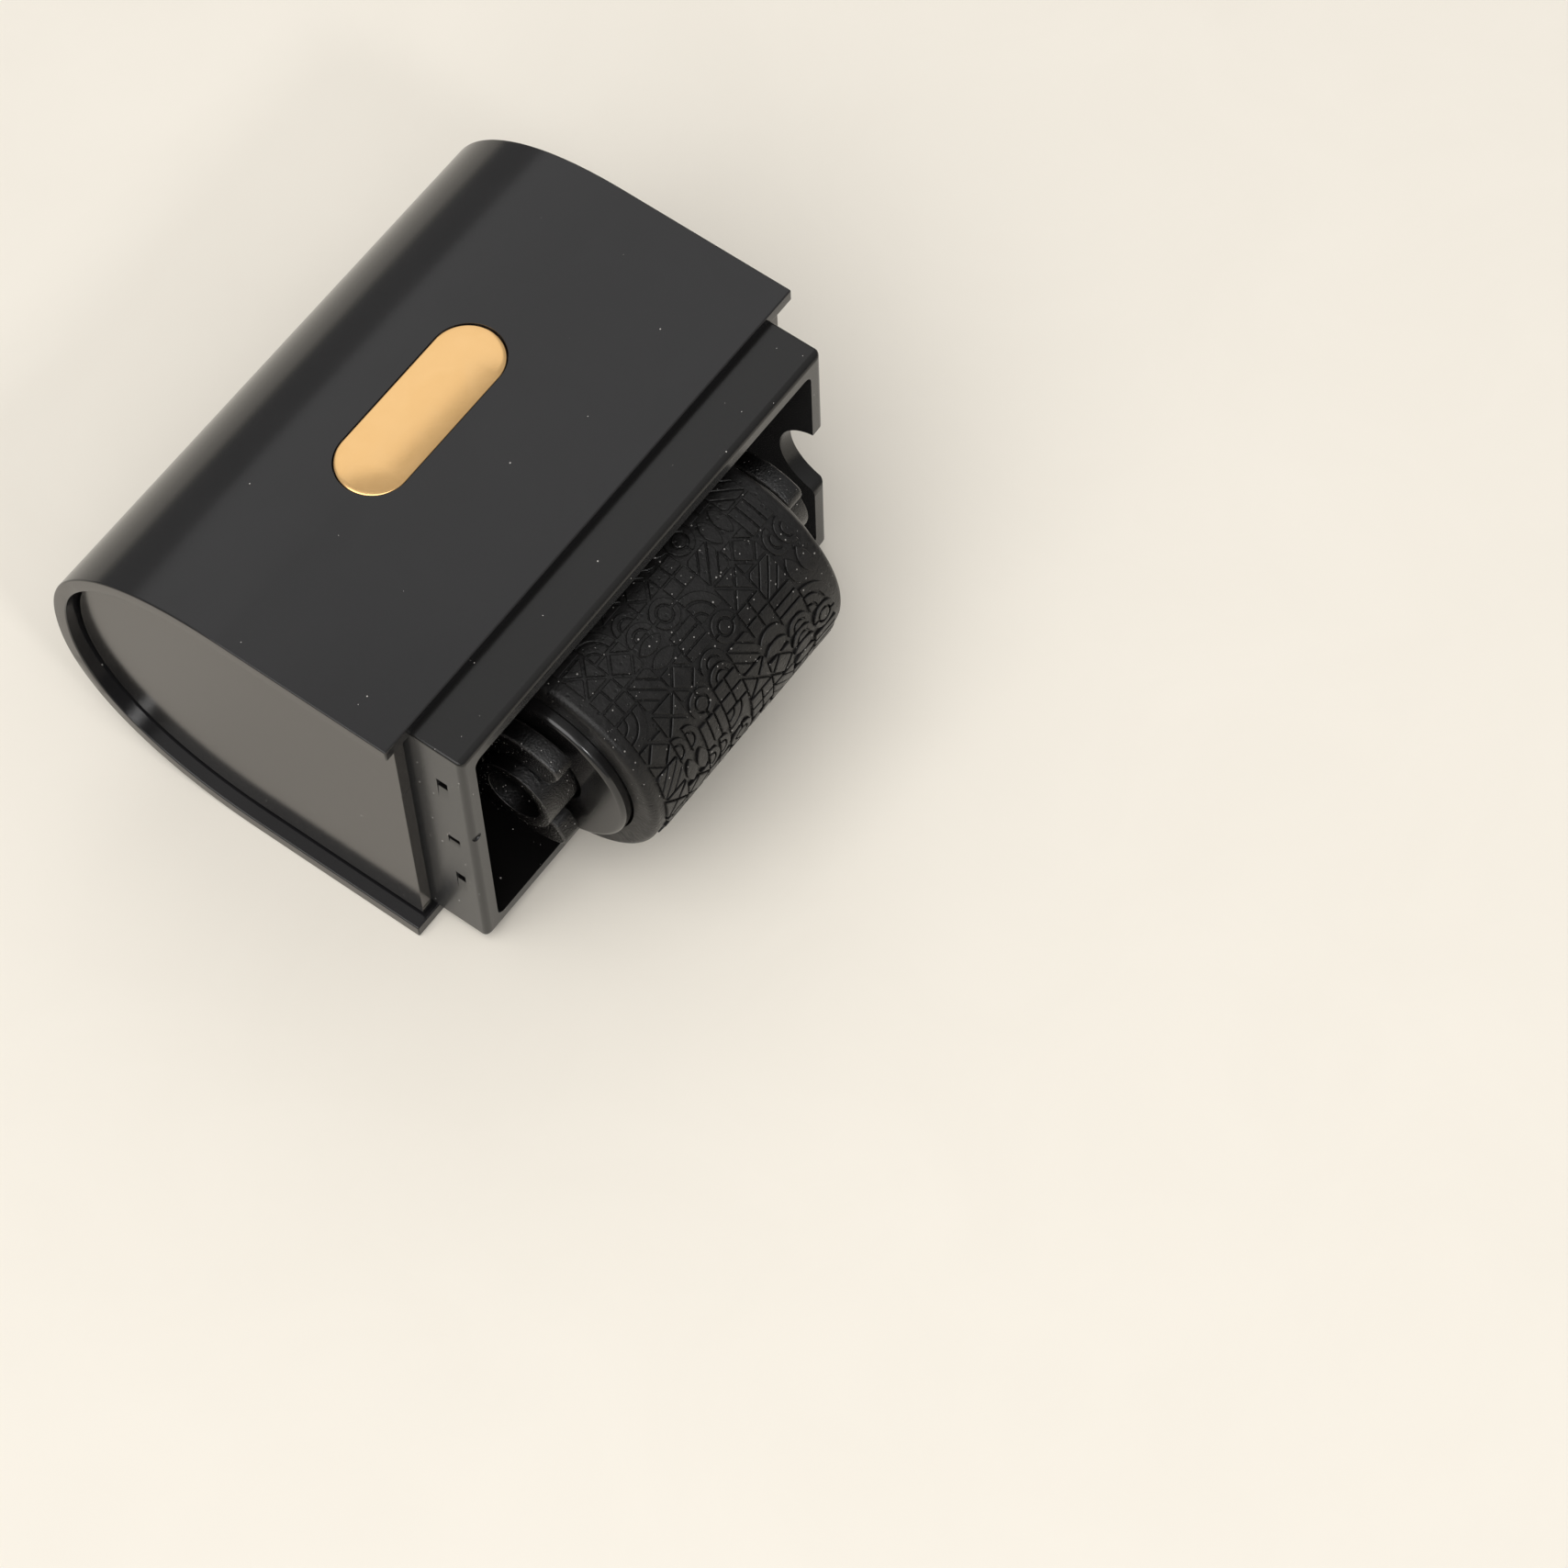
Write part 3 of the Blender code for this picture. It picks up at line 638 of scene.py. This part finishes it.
# %% The end panels
PANEL_INSET = SHELL_WALL + FIT
CLIP_LINES = (1.9 * MM, 17.8 * MM)
CLIP_LINE_DEPTH = 0.07 * MM
CLIP_LINE_HEIGHT = 0.08 * MM
for side, solid in ((-1, "end_panel_left"), (1, "end_panel_right")):
    low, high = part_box(solid)
    outer_x = max(abs(low.x), abs(high.x))
    peg_x = min(abs(low.x), abs(high.x))
    inner_x = HOUSING_HIGH.x + FIT
    near_x, far_x = sorted((side * inner_x, side * outer_x))
    panel = bent_ribbon(solid + "_plate", near_x, far_x, low.y, PANEL_INSET)
    close_ribbon(panel, near_x, far_x, low.y)
    for z in CLIP_LINES:
        start = (near_x - MM, low.y - MM, z)
        combine(panel, block(
            "clip_line", start, (far_x + MM, low.y + CLIP_LINE_DEPTH, z + CLIP_LINE_HEIGHT)))
    for z in PEG_HEIGHTS:
        ends = sorted((side * peg_x, side * (inner_x + outer_x) / 2))
        combine(panel, peg("peg", *ends, z, PEG_RADIUS), "UNION")
    soften(panel, 0.10 * MM)
    hand_over(panel, panel_black, "housing", "satin_black_plastic", solid)

# %% [markdown]
# ## The inner housing
# Inside the shell sits one moulding: a block with the shell's outline, a stepped collar that stands
# out of the shell's mouth, the bay for the cartridge, and hollows behind it that leave only a
# bulkhead and ribs, so that the walls cool evenly. It is built as the mould would make it, a full
# body from which the hollows are cut. The collar's front edge is rounded by extruding its face in
# short steps, each a little narrower than the one before.

# %% The housing's body
SEAM = 0.05 * MM
SEAM_SET_BACK = 0.12 * MM
housing = bent_ribbon(
    "housing_moulding", HOUSING_LOW.x, HOUSING_HIGH.x, FRONT_Y + SEAM_SET_BACK, SHELL_WALL + SEAM)
close_ribbon(housing, HOUSING_LOW.x, HOUSING_HIGH.x, FRONT_Y + SEAM_SET_BACK)
print("housing body faces:", len(housing.data.polygons))

# %% The collar
COLLAR_CORNER = 0.2 * MM
COLLAR_EDGE = 0.5 * MM
COLLAR_EDGE_STEPS = 8


def along_corner(piece, half_width, half_height):
    """Select the four edges that run along Y at a block's corners."""
    pick(piece, "EDGE", lambda place: (
        abs(abs(place.x) - half_width) < NEAR
        and abs(abs(place.z - MIDDLE_Z) - half_height) < NEAR))


collar_half_height = HOUSING_HIGH.z - MIDDLE_Z
front = HOUSING_LOW.y + COLLAR_EDGE
straight = FRONT_Y + MM - front
collar = begin(
    "collar", bpy.ops.mesh.primitive_cube_add, (0, front + straight / 2, MIDDLE_Z),
    (2 * HOUSING_HIGH.x, straight, 2 * collar_half_height), size=1)
along_corner(collar, HOUSING_HIGH.x, collar_half_height)
bpy.ops.mesh.bevel(offset=COLLAR_CORNER, segments=4, affect="EDGES")
pick(collar, "FACE", lambda place: place.y < front + NEAR)
last_forward, last_inset = 0, 0
for forward, left in arc((0, 0), COLLAR_EDGE, 90, 0, COLLAR_EDGE_STEPS)[1:]:
    inset = COLLAR_EDGE - left
    extrude(Vector((0, last_forward - forward, 0)))
    narrower = (HOUSING_HIGH.x - inset) / (HOUSING_HIGH.x - last_inset)
    lower = (collar_half_height - inset) / (collar_half_height - last_inset)
    bpy.ops.transform.resize(value=(narrower, 1, lower), center_override=(0, front, MIDDLE_Z))
    last_forward, last_inset = forward, inset
combine(housing, leave(collar), "UNION")
print("with its collar:", len(housing.data.polygons))

# %% The bay and the hollows behind it
COLLAR_SIDE_WALL = 1.25 * MM
COLLAR_WALL = 1.35 * MM
BAY_CORNER = 0.7 * MM
BAY_BACK_Y = FRAME_HIGH.y + FIT
BAY_HALF_WIDTH = HOUSING_HIGH.x - COLLAR_SIDE_WALL
BAY_HALF_HEIGHT = HOUSING_HIGH.z - COLLAR_WALL - MIDDLE_Z
BULKHEAD = 1.2 * MM
RIB_FROM_CENTRE = 6.2 * MM
RIB_HALF = 0.6 * MM
HOLLOWS = (
    (-BAY_HALF_WIDTH, -RIB_FROM_CENTRE - RIB_HALF),
    (-RIB_FROM_CENTRE + RIB_HALF, RIB_FROM_CENTRE - RIB_HALF),
    (RIB_FROM_CENTRE + RIB_HALF, BAY_HALF_WIDTH))

before_collar = HOUSING_LOW.y - 2 * MM
bay = begin(
    "bay", bpy.ops.mesh.primitive_cube_add, (0, (before_collar + BAY_BACK_Y) / 2, MIDDLE_Z),
    (2 * BAY_HALF_WIDTH, BAY_BACK_Y - before_collar, 2 * BAY_HALF_HEIGHT), size=1)
along_corner(bay, BAY_HALF_WIDTH, BAY_HALF_HEIGHT)
bpy.ops.mesh.bevel(offset=BAY_CORNER, segments=5, affect="EDGES")
combine(housing, leave(bay))
for low_x, high_x in HOLLOWS:
    start = (low_x, BAY_BACK_Y + BULKHEAD, -MM)
    combine(housing, block("hollow", start, (high_x, SHELL_HIGH.y + MM, SHELL_HIGH.z + MM)))
for side in (-1, 1):
    for z in PEG_HEIGHTS:
        ends = sorted((side * (BAY_HALF_WIDTH - MM), side * (HOUSING_HIGH.x + MM)))
        combine(housing, peg("peg_hole", *ends, z, PEG_RADIUS + FIT))
print("with its hollows:", len(housing.data.polygons))

# %% [markdown]
# In the collar's right wall a round notch lets a fingertip reach the cartridge. Its lower lip is
# rounded over: the notch's arc runs into a small arc that bends the other way.

# %% The notch
NOTCH_RADIUS = 3.7 * MM
NOTCH_LIP = 0.8 * MM
NOTCH_FORWARD = 0.8 * MM
NOTCH_BELOW = 0.4 * MM
notch_middle = (HOUSING_LOW.y - NOTCH_FORWARD, MIDDLE_Z - NOTCH_BELOW)
reach = NOTCH_FORWARD + NOTCH_LIP
drop = math.sqrt((NOTCH_RADIUS + NOTCH_LIP) ** 2 - reach ** 2)
lean = math.degrees(math.atan2(drop, reach))
lip_middle = (notch_middle[0] + reach, notch_middle[1] - drop)
outline = arc(notch_middle, NOTCH_RADIUS, 90, -lean, 36)
outline += arc(lip_middle, NOTCH_LIP, 180 - lean, 180, 8)[1:]
outline += [(before_collar, lip_middle[1]), (before_collar, notch_middle[1] + NOTCH_RADIUS)]
inside_wall = BAY_HALF_WIDTH - 2 * MM
notch = plate("notch", [(inside_wall, y, z) for y, z in outline], Vector((5 * MM, 0, 0)))
combine(housing, notch)
soften(housing, 0.13 * MM, segments=3, angle=55)
print("softened, with its notch:", len(housing.data.polygons))

# %% [markdown]
# The left wall has three small catches for a push-on cap: each is a slot with a very shallow ramp
# below it, drawn as one outline and cut out of the wall. A flattened ball cuts the nick in the rim.
# The catches keep their sharp edges, so they are cut after the housing is softened. Their table is
# in millimetres: front, top, width, height, and the height of the slot alone.

# %% The catches and the nick
CATCHES = (
    (-10.46, 20.8, 0.9, 2.4, 0.95),
    (-10.67, 13.4, 1.0, 1.1, 0.65),
    (-10.82, 8.3, 0.8, 2.3, 0.95))
SLOT_DEPTH = 0.8
RAMP_DEPTH = 0.07
OUTSIDE = 0.4
NICK_Z = 14.6
NICK_REACH = (0.42, 0.26, 0.34)

wall = HOUSING_LOW.x / MM
for near_y, top, width, height, slot in CATCHES:
    foot = top - slot - (height - slot) * (RAMP_DEPTH + OUTSIDE) / RAMP_DEPTH
    outline = [
        (wall - OUTSIDE, top), (wall + SLOT_DEPTH, top), (wall + SLOT_DEPTH, top - slot),
        (wall + RAMP_DEPTH, top - slot), (wall - OUTSIDE, foot)]
    points = [(x * MM, near_y * MM, z * MM) for x, z in outline]
    combine(housing, plate("catch", points, Vector((0, -width * MM, 0))))
nick_middle = Vector((wall + NICK_REACH[0], HOUSING_LOW.y / MM, NICK_Z)) * MM
nick = begin(
    "nick", bpy.ops.mesh.primitive_uv_sphere_add, nick_middle, segments=16, ring_count=10,
    radius=MM)
bpy.ops.transform.resize(value=NICK_REACH, center_override=nick_middle)
combine(housing, leave(nick))
hand_over(housing, collar_black, "housing", "satin_black_plastic", "inner_housing")

# %% [markdown]
# ## The cartridge
# The cartridge carries the roller: two arms with open clips, guide skids beside them and a back
# plate. Seen from the side each arm is an open C on a flared foot, and each skid is a length of the
# same foot. Both are drawn in that view, given a thickness and joined to the plate. Their feet reach
# into the plate, so no line of them lies in the plane of its front.

# %% The side view of the cartridge
ROLLER_ROOM = 1.65 * MM
CLIP_BORE = 3.3 * MM
CLIP_OUTER = 5.8 * MM
CLIP_TIP_ROUND = 0.8 * MM
CLIP_MOUTH = 120
CLIP_SHOULDER = 75
ARM_FLARE = 2 * MM
SKID_LENGTH = 4.2 * MM
FOOT_IN_PLATE = 0.5 * MM
PLATE_Y = ROLLER_RADIUS + ROLLER_ROOM
FOOT_TOP = CLIP_OUTER + ARM_FLARE

shoulder = arc((0, 0), CLIP_OUTER, CLIP_SHOULDER, CLIP_MOUTH, 16)
slope = (FOOT_TOP - shoulder[0][1]) / (PLATE_Y - shoulder[0][0])
foot = (PLATE_Y + FOOT_IN_PLATE, FOOT_TOP + slope * FOOT_IN_PLATE)


def clip_upper_half():
    """Upper half of an arm, from its foot in the plate round the clip's tip to the bore."""
    mouth = math.radians(CLIP_MOUTH)
    outer_corner, inner_corner = [
        (distance * math.cos(mouth), distance * math.sin(mouth))
        for distance in (CLIP_OUTER - CLIP_TIP_ROUND, CLIP_BORE + CLIP_TIP_ROUND)]
    outline = [foot] + shoulder
    outline += arc(outer_corner, CLIP_TIP_ROUND, CLIP_MOUTH, CLIP_MOUTH + 90, 8)[1:]
    outline += arc(inner_corner, CLIP_TIP_ROUND, CLIP_MOUTH + 90, CLIP_MOUTH + 180, 8)
    outline += arc((0, 0), CLIP_BORE, CLIP_MOUTH, 0, 24)[1:]
    return outline


upper = clip_upper_half()
arm_view = upper + [(y, -z) for y, z in reversed(upper)][1:]
upper = [foot, (PLATE_Y - SKID_LENGTH, FOOT_TOP - slope * SKID_LENGTH)]
skid_view = upper + [(y, -z) for y, z in reversed(upper)]
print("points of an arm's side view:", len(arm_view))

# %% The plate with its arms and skids
ARM_PLAY = 0.45 * MM
ARM_THICKNESS = 1.6 * MM
SKID_THICKNESS = 1.2 * MM
ARM_INNER_X = HUB_HIGH.x + ARM_PLAY

cartridge = block(
    "cartridge", Vector((FRAME_LOW.x, AXLE.y + PLATE_Y, FRAME_LOW.z)), FRAME_HIGH)
for start_x, thickness, view in (
        (ARM_INNER_X, ARM_THICKNESS, arm_view),
        (-ARM_INNER_X - ARM_THICKNESS, ARM_THICKNESS, arm_view),
        (FRAME_HIGH.x - SKID_THICKNESS, SKID_THICKNESS, skid_view),
        (FRAME_LOW.x, SKID_THICKNESS, skid_view)):
    points = [(start_x, AXLE.y + y, MIDDLE_Z + z) for y, z in view]
    combine(cartridge, plate("arm_or_skid", points, Vector((thickness, 0, 0))), "UNION")
soften(cartridge, 0.22 * MM)
hand_over(cartridge, cartridge_black, "cartridge", "inner_black_plastic", "cartridge_frame")

# %% [markdown]
# ## Axle and hubs
# Both are turned pieces, so each is half of a section, drawn above the axle and spun once round it.
# The outer corner of a hub's rim is an arc in that section: it gives a rounder and cleaner rim than
# a modifier does later.

# %% The axle
TURN_STEPS = 96
AXLE_WALL = 0.9 * MM
AXLE_RADIUS = AXLE_HIGH.z - MIDDLE_Z
AXLE_BORE = AXLE_RADIUS - AXLE_WALL
tip = AXLE_HIGH.x
axle = turn("axle_tube", [
    (-tip, AXLE_BORE), (tip, AXLE_BORE), (tip, AXLE_RADIUS), (-tip, AXLE_RADIUS)], TURN_STEPS)
soften(axle, 0.07 * MM, segments=2)
hand_over(axle, cartridge_black, "cartridge", "inner_black_plastic", "axle")

# %% The hubs
SPIGOT_PLAY = 0.9 * MM
SPIGOT_WALL = 1.4 * MM
HUB_THICKNESS = 1.6 * MM
HUB_ROUND = 0.35 * MM
SPIGOT_BORE = AXLE_RADIUS + SPIGOT_PLAY
SPIGOT_RADIUS = SPIGOT_BORE + SPIGOT_WALL
HUB_BORE = AXLE_RADIUS + FIT
HUB_RADIUS = HUB_HIGH.z - MIDDLE_Z
HUB_FACE_X = HUB_HIGH.x
HUB_BACK_X = HUB_FACE_X - HUB_THICKNESS
for side, solid in ((-1, "roller_hub_left"), (1, "roller_hub_right")):
    profile = [
        (HUB_LOW.x, SPIGOT_BORE), (HUB_LOW.x, SPIGOT_RADIUS), (HUB_BACK_X, SPIGOT_RADIUS),
        (HUB_BACK_X, HUB_RADIUS)]
    profile += arc((HUB_FACE_X - HUB_ROUND, HUB_RADIUS - HUB_ROUND), HUB_ROUND, 90, 0, 8)
    profile += [(HUB_FACE_X, HUB_BORE), (HUB_BACK_X, HUB_BORE), (HUB_BACK_X, SPIGOT_BORE)]
    hub = turn(solid + "_disc", [(side * x, radius) for x, radius in profile], TURN_STEPS)
    soften(hub, 0.08 * MM, segments=2, angle=60)
    hand_over(hub, hub_black, "roller", "inner_black_plastic", solid)

# %% [markdown]
# ## The printing sleeve
# The rubber sleeve has plain rounded ends, and between them a dense raised pattern that prints a
# scramble. The pattern here is made of plain signs that mean nothing: bars, rings, leaves, squares,
# fans and scales. Each sign is modelled once, lying flat. Copies fill a flat sheet as long as the
# roller is round, the sheet is cut across so that it can bend, and then it is rolled up round the
# axle and joined to the sleeve.

# %% The plain sleeve
SLEEVE_WALL = 1.8 * MM
RELIEF_HEIGHT = 0.2 * MM
SLEEVE_ROUND = 0.55 * MM
LIP_WIDTH = 0.7 * MM
LIP_HEIGHT = 0.16 * MM
SLEEVE_STEPS = 160
SLEEVE_END = SLEEVE_HIGH.x
SLEEVE_BORE = ROLLER_RADIUS - SLEEVE_WALL
LIP_BORE = SLEEVE_BORE - LIP_HEIGHT
GROUND_RADIUS = ROLLER_RADIUS - RELIEF_HEIGHT
far_end = arc((SLEEVE_END - SLEEVE_ROUND, GROUND_RADIUS - SLEEVE_ROUND), SLEEVE_ROUND, 0, 90, 8)
lip_x = SLEEVE_END - LIP_WIDTH
lip = [(lip_x, SLEEVE_BORE), (lip_x, LIP_BORE), (SLEEVE_END, LIP_BORE)]
profile = [(-x, radius) for x, radius in reversed(lip)] + lip + far_end
profile += [(-x, radius) for x, radius in reversed(far_end)]
sleeve = turn("printing_sleeve", profile, SLEEVE_STEPS)
print("plain sleeve faces:", len(sleeve.data.polygons))

# %% [markdown]
# A sign is a list of outlines inside a square of twice HALF, with the pen lifted between them. GAP
# is the groove between two outlines, and STROKE the width of a ring.

# %% Signs with straight sides
SIGN_BOTTOM = -0.25 * MM
SIGN_TOP = ROLLER_RADIUS - GROUND_RADIUS
SIGN_EDGE = 0.05 * MM
HALF = 1.1 * MM
GAP = 0.16 * MM
STROKE = 0.42 * MM
THIRD = (2 * HALF - 2 * GAP) / 3


def oblong(x, y, width, height):
    return [(x, y), (x + width, y), (x + width, y + height), (x, y + height)]


def upright_bars():
    """Three bars side by side."""
    return [oblong(-HALF + step * (THIRD + GAP), -HALF, THIRD, 2 * HALF) for step in range(3)]


def slanted_bars():
    """Four bars across the sign's square, each between two lines on which x + y is the same."""
    sheets = []
    for low, high in ((-1.75 * HALF, -0.95 * HALF), (-0.95 * HALF + GAP, -GAP / 2)):
        bar = [(-HALF, high + HALF), (-HALF, low + HALF), (low + HALF, -HALF), (high + HALF, -HALF)]
        sheets += [bar, [(-x, -y) for x, y in bar]]
    return sheets


def diamond():
    """A diamond with a triangle in each corner of its square."""
    reach = HALF - GAP
    sheets = [[(reach, 0), (0, reach), (-reach, 0), (0, -reach)]]
    for a in (-1, 1):
        for b in (-1, 1):
            sheets.append([(a * HALF, b * HALF), (a * GAP, b * HALF), (a * HALF, b * GAP)])
    return sheets


def squares():
    """Four squares, two by two."""
    side = HALF - GAP / 2
    return [oblong(x, y, side, side) for x in (-HALF, GAP / 2) for y in (-HALF, GAP / 2)]


def quarters():
    """A square cut into four triangles by its diagonals."""
    sheets = []
    for quarter_turns in range(4):
        points = [(HALF, -HALF + GAP), (HALF, HALF - GAP), (GAP, 0)]
        for _ in range(quarter_turns):
            points = [(-y, x) for x, y in points]
        sheets.append(points)
    return sheets

# %% Signs with round sides
def round_target():
    """A ring with a dot in it. The ring is two half rings, cut short by a few degrees."""
    sheets = [arc((0, 0), HALF - STROKE - GAP, 0, 330, 11)]
    for start in (0, 180):
        half = arc((0, 0), HALF, start + 5, start + 175, 9)
        sheets.append(half + arc((0, 0), HALF - STROKE, start + 172, start + 8, 9))
    return sheets


def fan():
    """A quarter disc and two quarter rings round one corner of the sign's square."""
    corner = (-HALF, -HALF)
    sheets = [arc(corner, THIRD, 0, 90, 6) + [corner]]
    for step, cuts in ((1, 9), (2, 12)):
        near = step * (THIRD + GAP)
        sheets.append(arc(corner, near + THIRD, 0, 90, cuts) + arc(corner, near, 90, 0, cuts))
    return sheets


def leaves():
    """Two pointed leaves, each between two arcs."""
    half_width = (HALF - GAP / 2) / 2
    radius = (HALF ** 2 + half_width ** 2) / (2 * half_width)
    opening = math.degrees(math.asin(HALF / radius))
    side = arc((half_width - radius, 0), radius, -opening, opening, 6)
    leaf = side + [(-x, y) for x, y in reversed(side)][1:-1]
    shift = half_width + GAP / 2
    return [[(x + shift, y) for x, y in leaf], [(x - shift, y) for x, y in leaf]]


def scales():
    """Two fish scales above one another: a half disc in a half ring, twice."""
    sheets = []
    flatter = (HALF - GAP / 2) / HALF
    for foot in (-HALF, GAP / 2):
        outer, inner, core = [
            [(x, foot + y * flatter) for x, y in arc((0, 0), radius, start, end, cuts)]
            for radius, start, end, cuts in (
                (HALF, 0, 180, 10), (HALF - STROKE, 180, 0, 10), (HALF - STROKE - GAP, 0, 180, 8))]
        sheets += [outer + inner, core]
    return sheets

# %% Model each sign once
SIGNS = {
    "upright_bars": upright_bars(), "slanted_bars": slanted_bars(), "round_target": round_target(),
    "diamond": diamond(), "fan": fan(), "leaves": leaves(), "squares": squares(),
    "scales": scales(), "quarters": quarters(),
}


def join(pieces, name):
    """Join several meshes into one."""
    bpy.ops.object.select_all(action="DESELECT")
    for piece in pieces:
        piece.select_set(True)
    bpy.context.view_layer.objects.active = pieces[0]
    bpy.ops.object.join()
    pieces[0].name = pieces[0].data.name = name
    return pieces[0]


signs = []
for name, outlines in SIGNS.items():
    sheets = []
    for outline in outlines:
        points = [(x, y, SIGN_BOTTOM) for x, y in outline]
        sheets.append(plate(name, points, Vector((0, 0, SIGN_TOP - SIGN_BOTTOM))))
    sign = join(sheets, name)
    bpy.ops.object.mode_set(mode="EDIT")
    pick(sign, "FACE", lambda place: place.z > SIGN_TOP - NEAR)
    bpy.ops.mesh.region_to_loop()
    bpy.ops.mesh.bevel(offset=SIGN_EDGE, segments=1, affect="EDGES")
    signs.append(leave(sign))
print("signs:", [sign.name for sign in signs])

# %% [markdown]
# The signs are dealt out by a fixed rule, so that every run gives the same sleeve and no two
# neighbours are alike. Every second column starts half a step further round, so a few cuts more
# than one round are needed. Rolling up is done point by point: the way along the sheet becomes an
# angle, and the height above the sheet is added to the radius.

# %% Fill the sheet
ROWS = 23
COLUMNS = 8
PITCH = 2 * HALF + GAP
ROUND = math.tau * GROUND_RADIUS
copies = []
for row in range(ROWS):
    for column in range(COLUMNS):
        sign = signs[(column * 4 + row * 7 + row // 3) % len(signs)]
        copy = sign.copy()
        copy.data = sign.data.copy()
        bpy.context.scene.collection.objects.link(copy)
        step = row + 0.5 + 0.5 * (column % 2)
        copy.location = ((column - (COLUMNS - 1) / 2) * PITCH, step * ROUND / ROWS, 0)
        copy.rotation_euler.z = math.pi / 2 * ((row + 2 * column) % 4)
        copies.append(copy)
relief = join(copies, "relief")
bpy.ops.object.transform_apply(location=True, rotation=True, scale=True)
for sign in signs:
    bpy.data.objects.remove(sign)
print("signs on the sheet:", ROWS * COLUMNS)

# %% Cut the sheet, roll it up and join it to the sleeve
BEND_CUTS = 96
CUTS_BEYOND = 2
bpy.ops.object.mode_set(mode="EDIT")
for cut in range(1, BEND_CUTS + CUTS_BEYOND + 1):
    bpy.ops.mesh.select_all(action="SELECT")
    bpy.ops.mesh.bisect(plane_co=(0, cut * ROUND / BEND_CUTS, 0), plane_no=(0, 1, 0))
leave(relief)
for corner in relief.data.vertices:
    angle = corner.co.y / GROUND_RADIUS
    radius = GROUND_RADIUS + corner.co.z
    corner.co = AXLE + Vector((corner.co.x, radius * math.cos(angle), radius * math.sin(angle)))
bpy.ops.object.mode_set(mode="EDIT")
leave(relief)
combine(sleeve, relief, "UNION")
hand_over(sleeve, printing_rubber, "roller", "porous_black_rubber", "die_sleeve")

# %% [markdown]
# ## What stays hidden
# The hollow core and its ink felt lie inside the sleeve. Their solids stay as they are, with a
# material each.

# %% Dress the solids that stay
for solid, finish in (("roller_core", cartridge_black), ("ink_felt", soaked_felt)):
    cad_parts[solid].data.materials.clear()
    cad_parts[solid].data.materials.append(finish)
    print(solid, "wears", finish.name)

# %% [markdown]
# ## Floor and light
# The floor is plain and warm off-white. Black plastic hardly has a colour of its own: what the eye
# reads on it are reflections of its surroundings. The sky is a pale light tent that darkens towards
# the horizon, which gives the grip end its dark band. A wide lamp on the left gives the shadows a
# direction, a dim wide panel behind the stamp is mirrored by the upper face and by the inlay, and a
# small lamp in front draws the light line on the roller's hub.

# %% The floor
FLOOR_SIZE = 4
FLOOR_DROP = 0.01 * MM
paper, tree, shader = open_finish("floor_paper", Roughness=0.9)
marks = effect(tree, MARKS, Scale=60.0)
pale = mix_colour(tree, marks, (0.80, 0.755, 0.675, 1), (0.82, 0.775, 0.695, 1))
feed(tree, pale, shader.inputs["Base Color"])
floor = leave(begin(
    "floor", bpy.ops.mesh.primitive_plane_add, (0, 0, -FLOOR_DROP), size=FLOOR_SIZE))
floor.data.materials.append(paper)
print("floor:", paper.name)

# %% The sky
WHITE = (1.0, 1.0, 1.0)
WARM_WHITE = (1.0, 0.99, 0.975)
SKY_AT_HORIZON = 0.25
SKY_OVERHEAD = 0.61
world = bpy.data.worlds.new("studio")
bpy.context.scene.world = world
world.use_nodes = True
tree = world.node_tree
sky = tree.nodes["Background"]
sky.inputs["Color"].default_value = (*WARM_WHITE, 1)
towards = node(tree, "TexCoord").outputs["Generated"]
height = node(tree, "SeparateXYZ", {0: towards}).outputs["Z"]
feed(tree, spread(tree, height, SKY_AT_HORIZON, SKY_OVERHEAD), sky.inputs["Strength"])
print("sky strength:", SKY_AT_HORIZON, "to", SKY_OVERHEAD)

# %% The lamps
def lamp(name, azimuth, elevation, distance, size, power, colour):
    """A square lamp that looks at the stamp. Azimuth 0 is towards +Y and turns towards +X."""
    light = bpy.data.lights.new(name, "AREA")
    light.size = size
    light.energy = power
    light.color = colour
    holder = bpy.data.objects.new(name, light)
    bpy.context.scene.collection.objects.link(holder)
    a, e = math.radians(azimuth), math.radians(elevation)
    aim = Vector((math.sin(a) * math.cos(e), math.cos(a) * math.cos(e), math.sin(e)))
    holder.location = AXLE + aim * distance
    holder.rotation_mode = "QUATERNION"
    holder.rotation_quaternion = aim.to_track_quat("Z", "Y")
    print(name, "watts:", power)


lamp("main_lamp", -95, 60, distance=0.9, size=1.0, power=6.8, colour=WARM_WHITE)
lamp("sheen_panel", 39, 43, distance=0.9, size=0.6, power=0.64, colour=WHITE)
lamp("front_lamp", -158, 39, distance=0.6, size=0.07, power=0.55, colour=WHITE)

# %% [markdown]
# ## Colours at the end
# Colours are shown as they are, without a film look.

# %% Finish
bpy.context.scene.view_settings.view_transform = "Standard"
